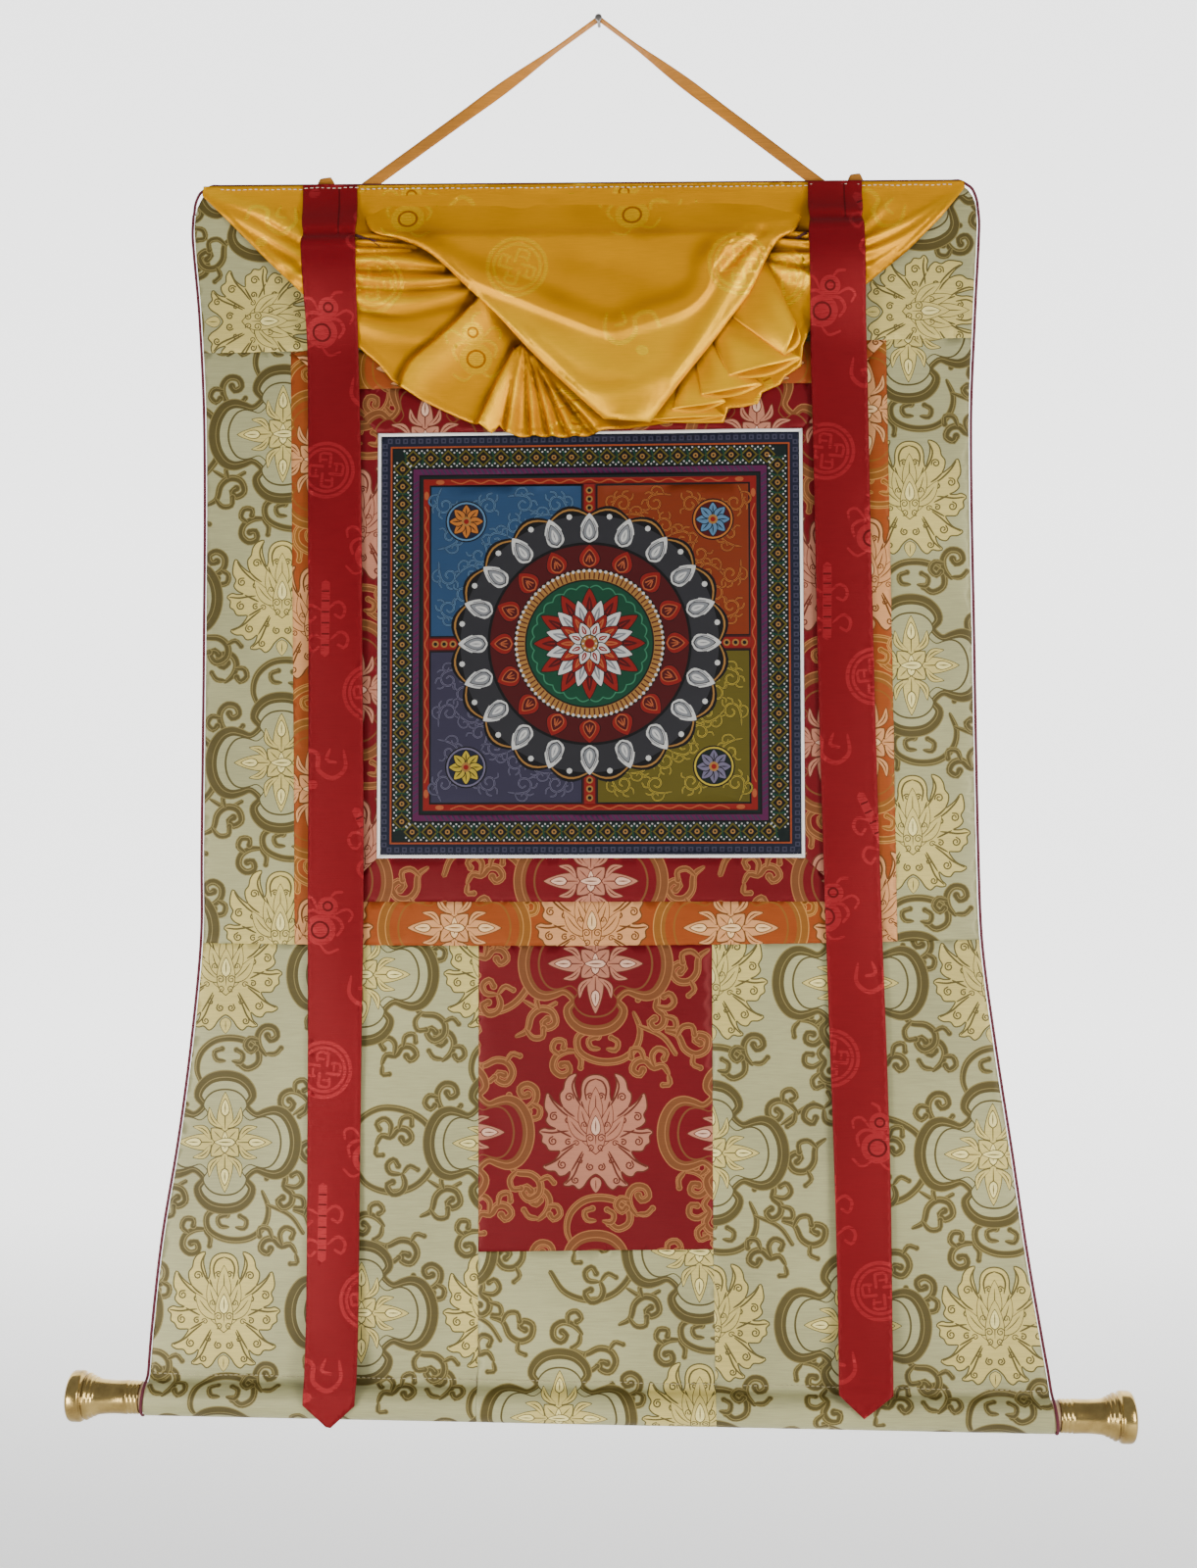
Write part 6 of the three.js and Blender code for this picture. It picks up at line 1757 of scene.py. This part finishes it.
def make_swag(silk):
    outline = swag_outline()
    figures = scattered(outline, 100, 124, -64, 340, ("fret", "scroll", "gourd", "flute"), 1.35)
    inner = np.vstack([grid_points(outline, 3.4, 3.2), fold_points(SWAG_FOLDS, outline)])
    spots, triangles, tones = inlay(outline, figures, inner)
    across, down = swag_place(spots)
    x, z = spots.T
    side = np.where(z > 385, 99, edge_distance(swag_sides(), spots))
    fall, flare = smooth_step(down, 0.04, 0.3), smooth_step(down, 0.4, 1)
    crown = np.sin(math.pi * np.clip(across, 0, 1)) ** 0.7
    sewn = cloth_depth(x, z) - CLOTH_THICKNESS / 2 - 0.8 - VEIL_THICKNESS / 2
    relief, painted_light = fold_relief(SWAG_FOLDS, spots)
    relief = relief + 0.8 * silk_swell(x * 0.7, z * 0.8)
    relief += 0.9 * rolled_edge(side)
    # Painted light: lighter below the main crease, painted shade in a band above it, and a painted
    # highlight (glint) near the right neck.
    below, _ = beside(SWAG_FOLDS[0][0], spots)
    belly = smooth_step(below, -3, 9) * smooth_step(down, 0.25, 0.5)
    painted_light = 0.43 + 0.75 * painted_light * smooth_step(down, 0.1, 0.25) + 0.36 * belly - 0.12 * ridge(below + 18, 16)
    glint = np.exp(-((x - 150) / 40) ** 2 - ((z - 372) / 16) ** 2)
    painted_light += 0.10 * silk_swell(x * 0.7, z * 0.8) + 0.16 * glint
    middle = sewn - fall * (13 + 3 * crown + relief) - flare * (5 + 4 * crown)
    tuck = 2.4 * ridge(side, 2.0) * fall
    faces = both_faces(x, middle - VEIL_THICKNESS / 2 + tuck, middle + VEIL_THICKNESS / 2 + tuck, z)
    swag = lined_sheet("veil_swag", *faces, triangles, tones, silk)
    paint_fold_light(swag, painted_light)
    dress(swag, "veil_silk", "veil")


def veil_front(x, z):
    """Front of the veil's back layer at one place, for what is tied over it."""
    spots = np.array([[x, z]], float)
    relief = float(fold_relief(VEIL_FOLDS, spots)[0][0])
    relief += sum(12 * math.exp(-off_neck(x, z, neck)) for neck in VEIL_NECKS)
    return float(cloth_depth(x, z)) - CLOTH_THICKNESS / 2 - 2.6 - VEIL_THICKNESS - relief


def make_ties():
    """A crimson tie round each bunched neck, seen for a short way beside its ribbon."""
    for name, route in (("veil_tie_left",
                         [(-218, 374), (-211, 373), (-203, 371), (-195, 368), (-187, 364)]),
                        ("veil_tie_right",
                         [(210, 371), (202, 369.5), (195, 367.5), (188, 365), (181, 362)])):
        middles = smooth_path([(x, veil_front(x, z) - 0.9, z) for x, z in route], 2.0)
        middles[:, 1] += 4.0 * smooth_step(np.arange(len(middles)), len(middles) * 0.55, len(middles) - 1)
        along = unit(np.gradient(middles, axis=0))
        across = np.cross(along, (0, 1.0, 0))
        dress(strap(name + "_cord", middles, across, 2.8, 1.1, tie_cotton, 0.4), "crimson_piping", name)


# The last ramp turns the painted light into colour: painted shade in the folds, painted highlight on the
# crests.
veil_silk = figured_silk("yellow_veil_silk", [
    (0.90, 0.46, 0.001), (1.0, 0.62, 0.004), (0.46, 0.17, 0.001)], (0.33, 0.24, 0.42), (1.0, 0.8, 0.04),
    pitch=0.0007, bump=0.25, metallic=0.42, vary=0.1,
    painted_light=[(0.16, 0.085, 0.04), (0.76, 0.62, 0.5), (1.0, 1.0, 1.0)])
tie_cotton = fabric("dark_tie_cotton", (0.050, 0.0030, 0.0030), 0.0006, 0.5, 0.7, 0.0, 0.3, 0.12)
make_veil(veil_silk)
make_swag(veil_silk)
make_fan(veil_silk)
make_ties()

# Ribbons: two long bands of red silk damask, sewn double over the heading. They bulge over the
# bunched veil, hang down past the sleeve and end in a point.
# Height, left edge, right edge and distance in front of the wall, all the way down a ribbon.
LEFT_RIBBON = [
    (421, -263, -213, 13.3), (404, -262.5, -212, 17), (385, -261.5, -211, 26),
    (366, -261, -210.5, 32.5), (345, -260, -210.5, 34), (322, -259, -210.5, 30.5),
    (296, -258, -210.5, 23.5), (268, -257.5, -210.5, 18.6), (180, -257, -208.5, 17.6),
    (-30, -255.5, -206, 20.2), (-220, -255, -204.5, 22.4), (-462, -254, -206.5, 26.5),
    (-600, -254, -207, 30.5), (-655, -254, -207, 39), (-672, -254.5, -208, 42.5),
    (-700, -255, -209, 43.5),
]
RIGHT_RIBBON = [
    (419, 199.5, 248, 13.3), (402, 199, 248, 17), (385, 198.5, 248.5, 26), (366, 198.5, 248.5, 32.5),
    (345, 199, 249, 34), (322, 199.5, 249.5, 30.5), (296, 200, 250, 23.5), (268, 200.5, 251, 18.6),
    (175, 202.5, 252.5, 17.6), (-30, 205.5, 255.5, 20.2), (-230, 210, 260, 22.4), (-462, 216.5, 266, 26.5),
    (-600, 219, 266.5, 30.5), (-655, 218.5, 266, 39), (-672, 218.5, 265.5, 42.5), (-700, 218.5, 265, 43.5),
]
RIBBON_THICKNESS = 1.4
# Tone of the ribbon above its pinch: the same red silk a little lighter, as painted light.
HEADING_SILK = 3


def make_ribbon(name, table, tip, shoulder, start, pinch, silk):
    table = np.array(table, float)
    left, right, depth = (smooth_curve(table[:, 0], table[:, column]) for column in (1, 2, 3))
    tip_x, tip_z = tip

    def narrow(z):
        return 1.6 * ridge(np.asarray(z, float) - pinch, 7)

    def foot(x):
        x = np.asarray(x, float)
        edge = np.where(x < tip_x, left(shoulder), right(shoulder))
        return tip_z + (shoulder - tip_z) * np.clip((x - tip_x) / (edge - tip_x), 0, 1)
    outline = panel_outline(lambda z: left(z) + narrow(z), lambda z: right(z) - narrow(z),
                            lambda x: top_edge(x) + 0.3, foot, 4.0, 0.0)
    figures = scattered(outline, 42, 136, start[0], start[1], ("gourd", "scroll", "flute", "fret"), 1.25)
    lap = [(float(left(z) + 0.67 * (right(z) - left(z))), z)
           for z in (top_edge(tip_x) - 2, (pinch + 420) / 2, pinch)]
    figures += figure_line(lap, 1.5, (0.9, 0.9), FIGURE_LINE)
    spots, triangles, tones = inlay(outline, figures, grid_points(outline, 4.2, 5))
    tones = np.where((tones == 0) & (spots[triangles].mean(axis=1)[:, 1] > pinch), HEADING_SILK, tones)
    x, z = spots.T
    distance = edge_distance(outline, spots)
    across = (x - left(z)) / (right(z) - left(z))
    folded = 0.9 * ridge(across - 0.66, 0.035) * smooth_step(z, pinch - 4, pinch + 16)
    hem = 0.5 * ridge(distance - 1.2, 1.1) - 0.35 * ridge(distance - 3.4, 0.8)
    wave = 0.5 * np.sin(z / 47 + across * 2.2) + 0.5 * np.sin(z / 29 + 1.0) * (across - 0.5)
    gather = 3.2 * ridge(z - pinch, 3.2) - 2.0 * ridge(z - pinch + 9, 5.0)
    crown = 0.7 * np.sin(math.pi * np.clip(across, 0, 1)) * smooth_step(z, -640, -600)
    middle = -depth(z) - crown - wave * smooth_step(top_edge(x) - z, 6, 60) + gather + folded
    faces = both_faces(x, middle - RIBBON_THICKNESS / 2 - hem, middle + RIBBON_THICKNESS / 2, z)
    ribbon = lined_sheet(name + "_damask", *faces, triangles, tones, silk)
    dress(ribbon, "ribbon_silk", name)


# The fourth colour is the ribbon's red made lighter for its heading, painted light.
ribbon_silk = figured_silk("red_ribbon_silk", [
    (0.155, 0.0024, 0.0065), (0.25, 0.011, 0.016), (0.075, 0.001, 0.003), (0.175, 0.003, 0.007)],
    (0.40, 0.30, 0.5, 0.45), (1.0, 0.35, 0.3), pitch=0.0006, bump=0.3, metallic=0.3, vary=0.12)
make_ribbon("ribbon_left", LEFT_RIBBON, (-231, -699), -678, (-240, 296), 375, ribbon_silk)
make_ribbon("ribbon_right", RIGHT_RIBBON, (240, -684), -664, (214, 308), 383, ribbon_silk)


def make_top_stitches():
    """Stitches in pale thread that fix the ribbons and the veil along the heading."""
    spots = []
    for x in np.arange(-338, 330, 5.2):
        on_ribbon = -263 < x < -213 or 199 < x < 248
        depth, drop = (-14.6, 3.2) if on_ribbon else (-13.3, 3.8)
        spots.append((x, depth, float(top_edge(x)) - drop + 0.3 * math.sin(x)))
    thread = fabric("pale_thread", (0.72, 0.66, 0.5), 0.0004, 0.4, 0.6, 0.1, 0.2, 0.1)
    stitches("top_stitches", spots, 1.6, 0.4, thread, "white_cotton")


make_top_stitches()
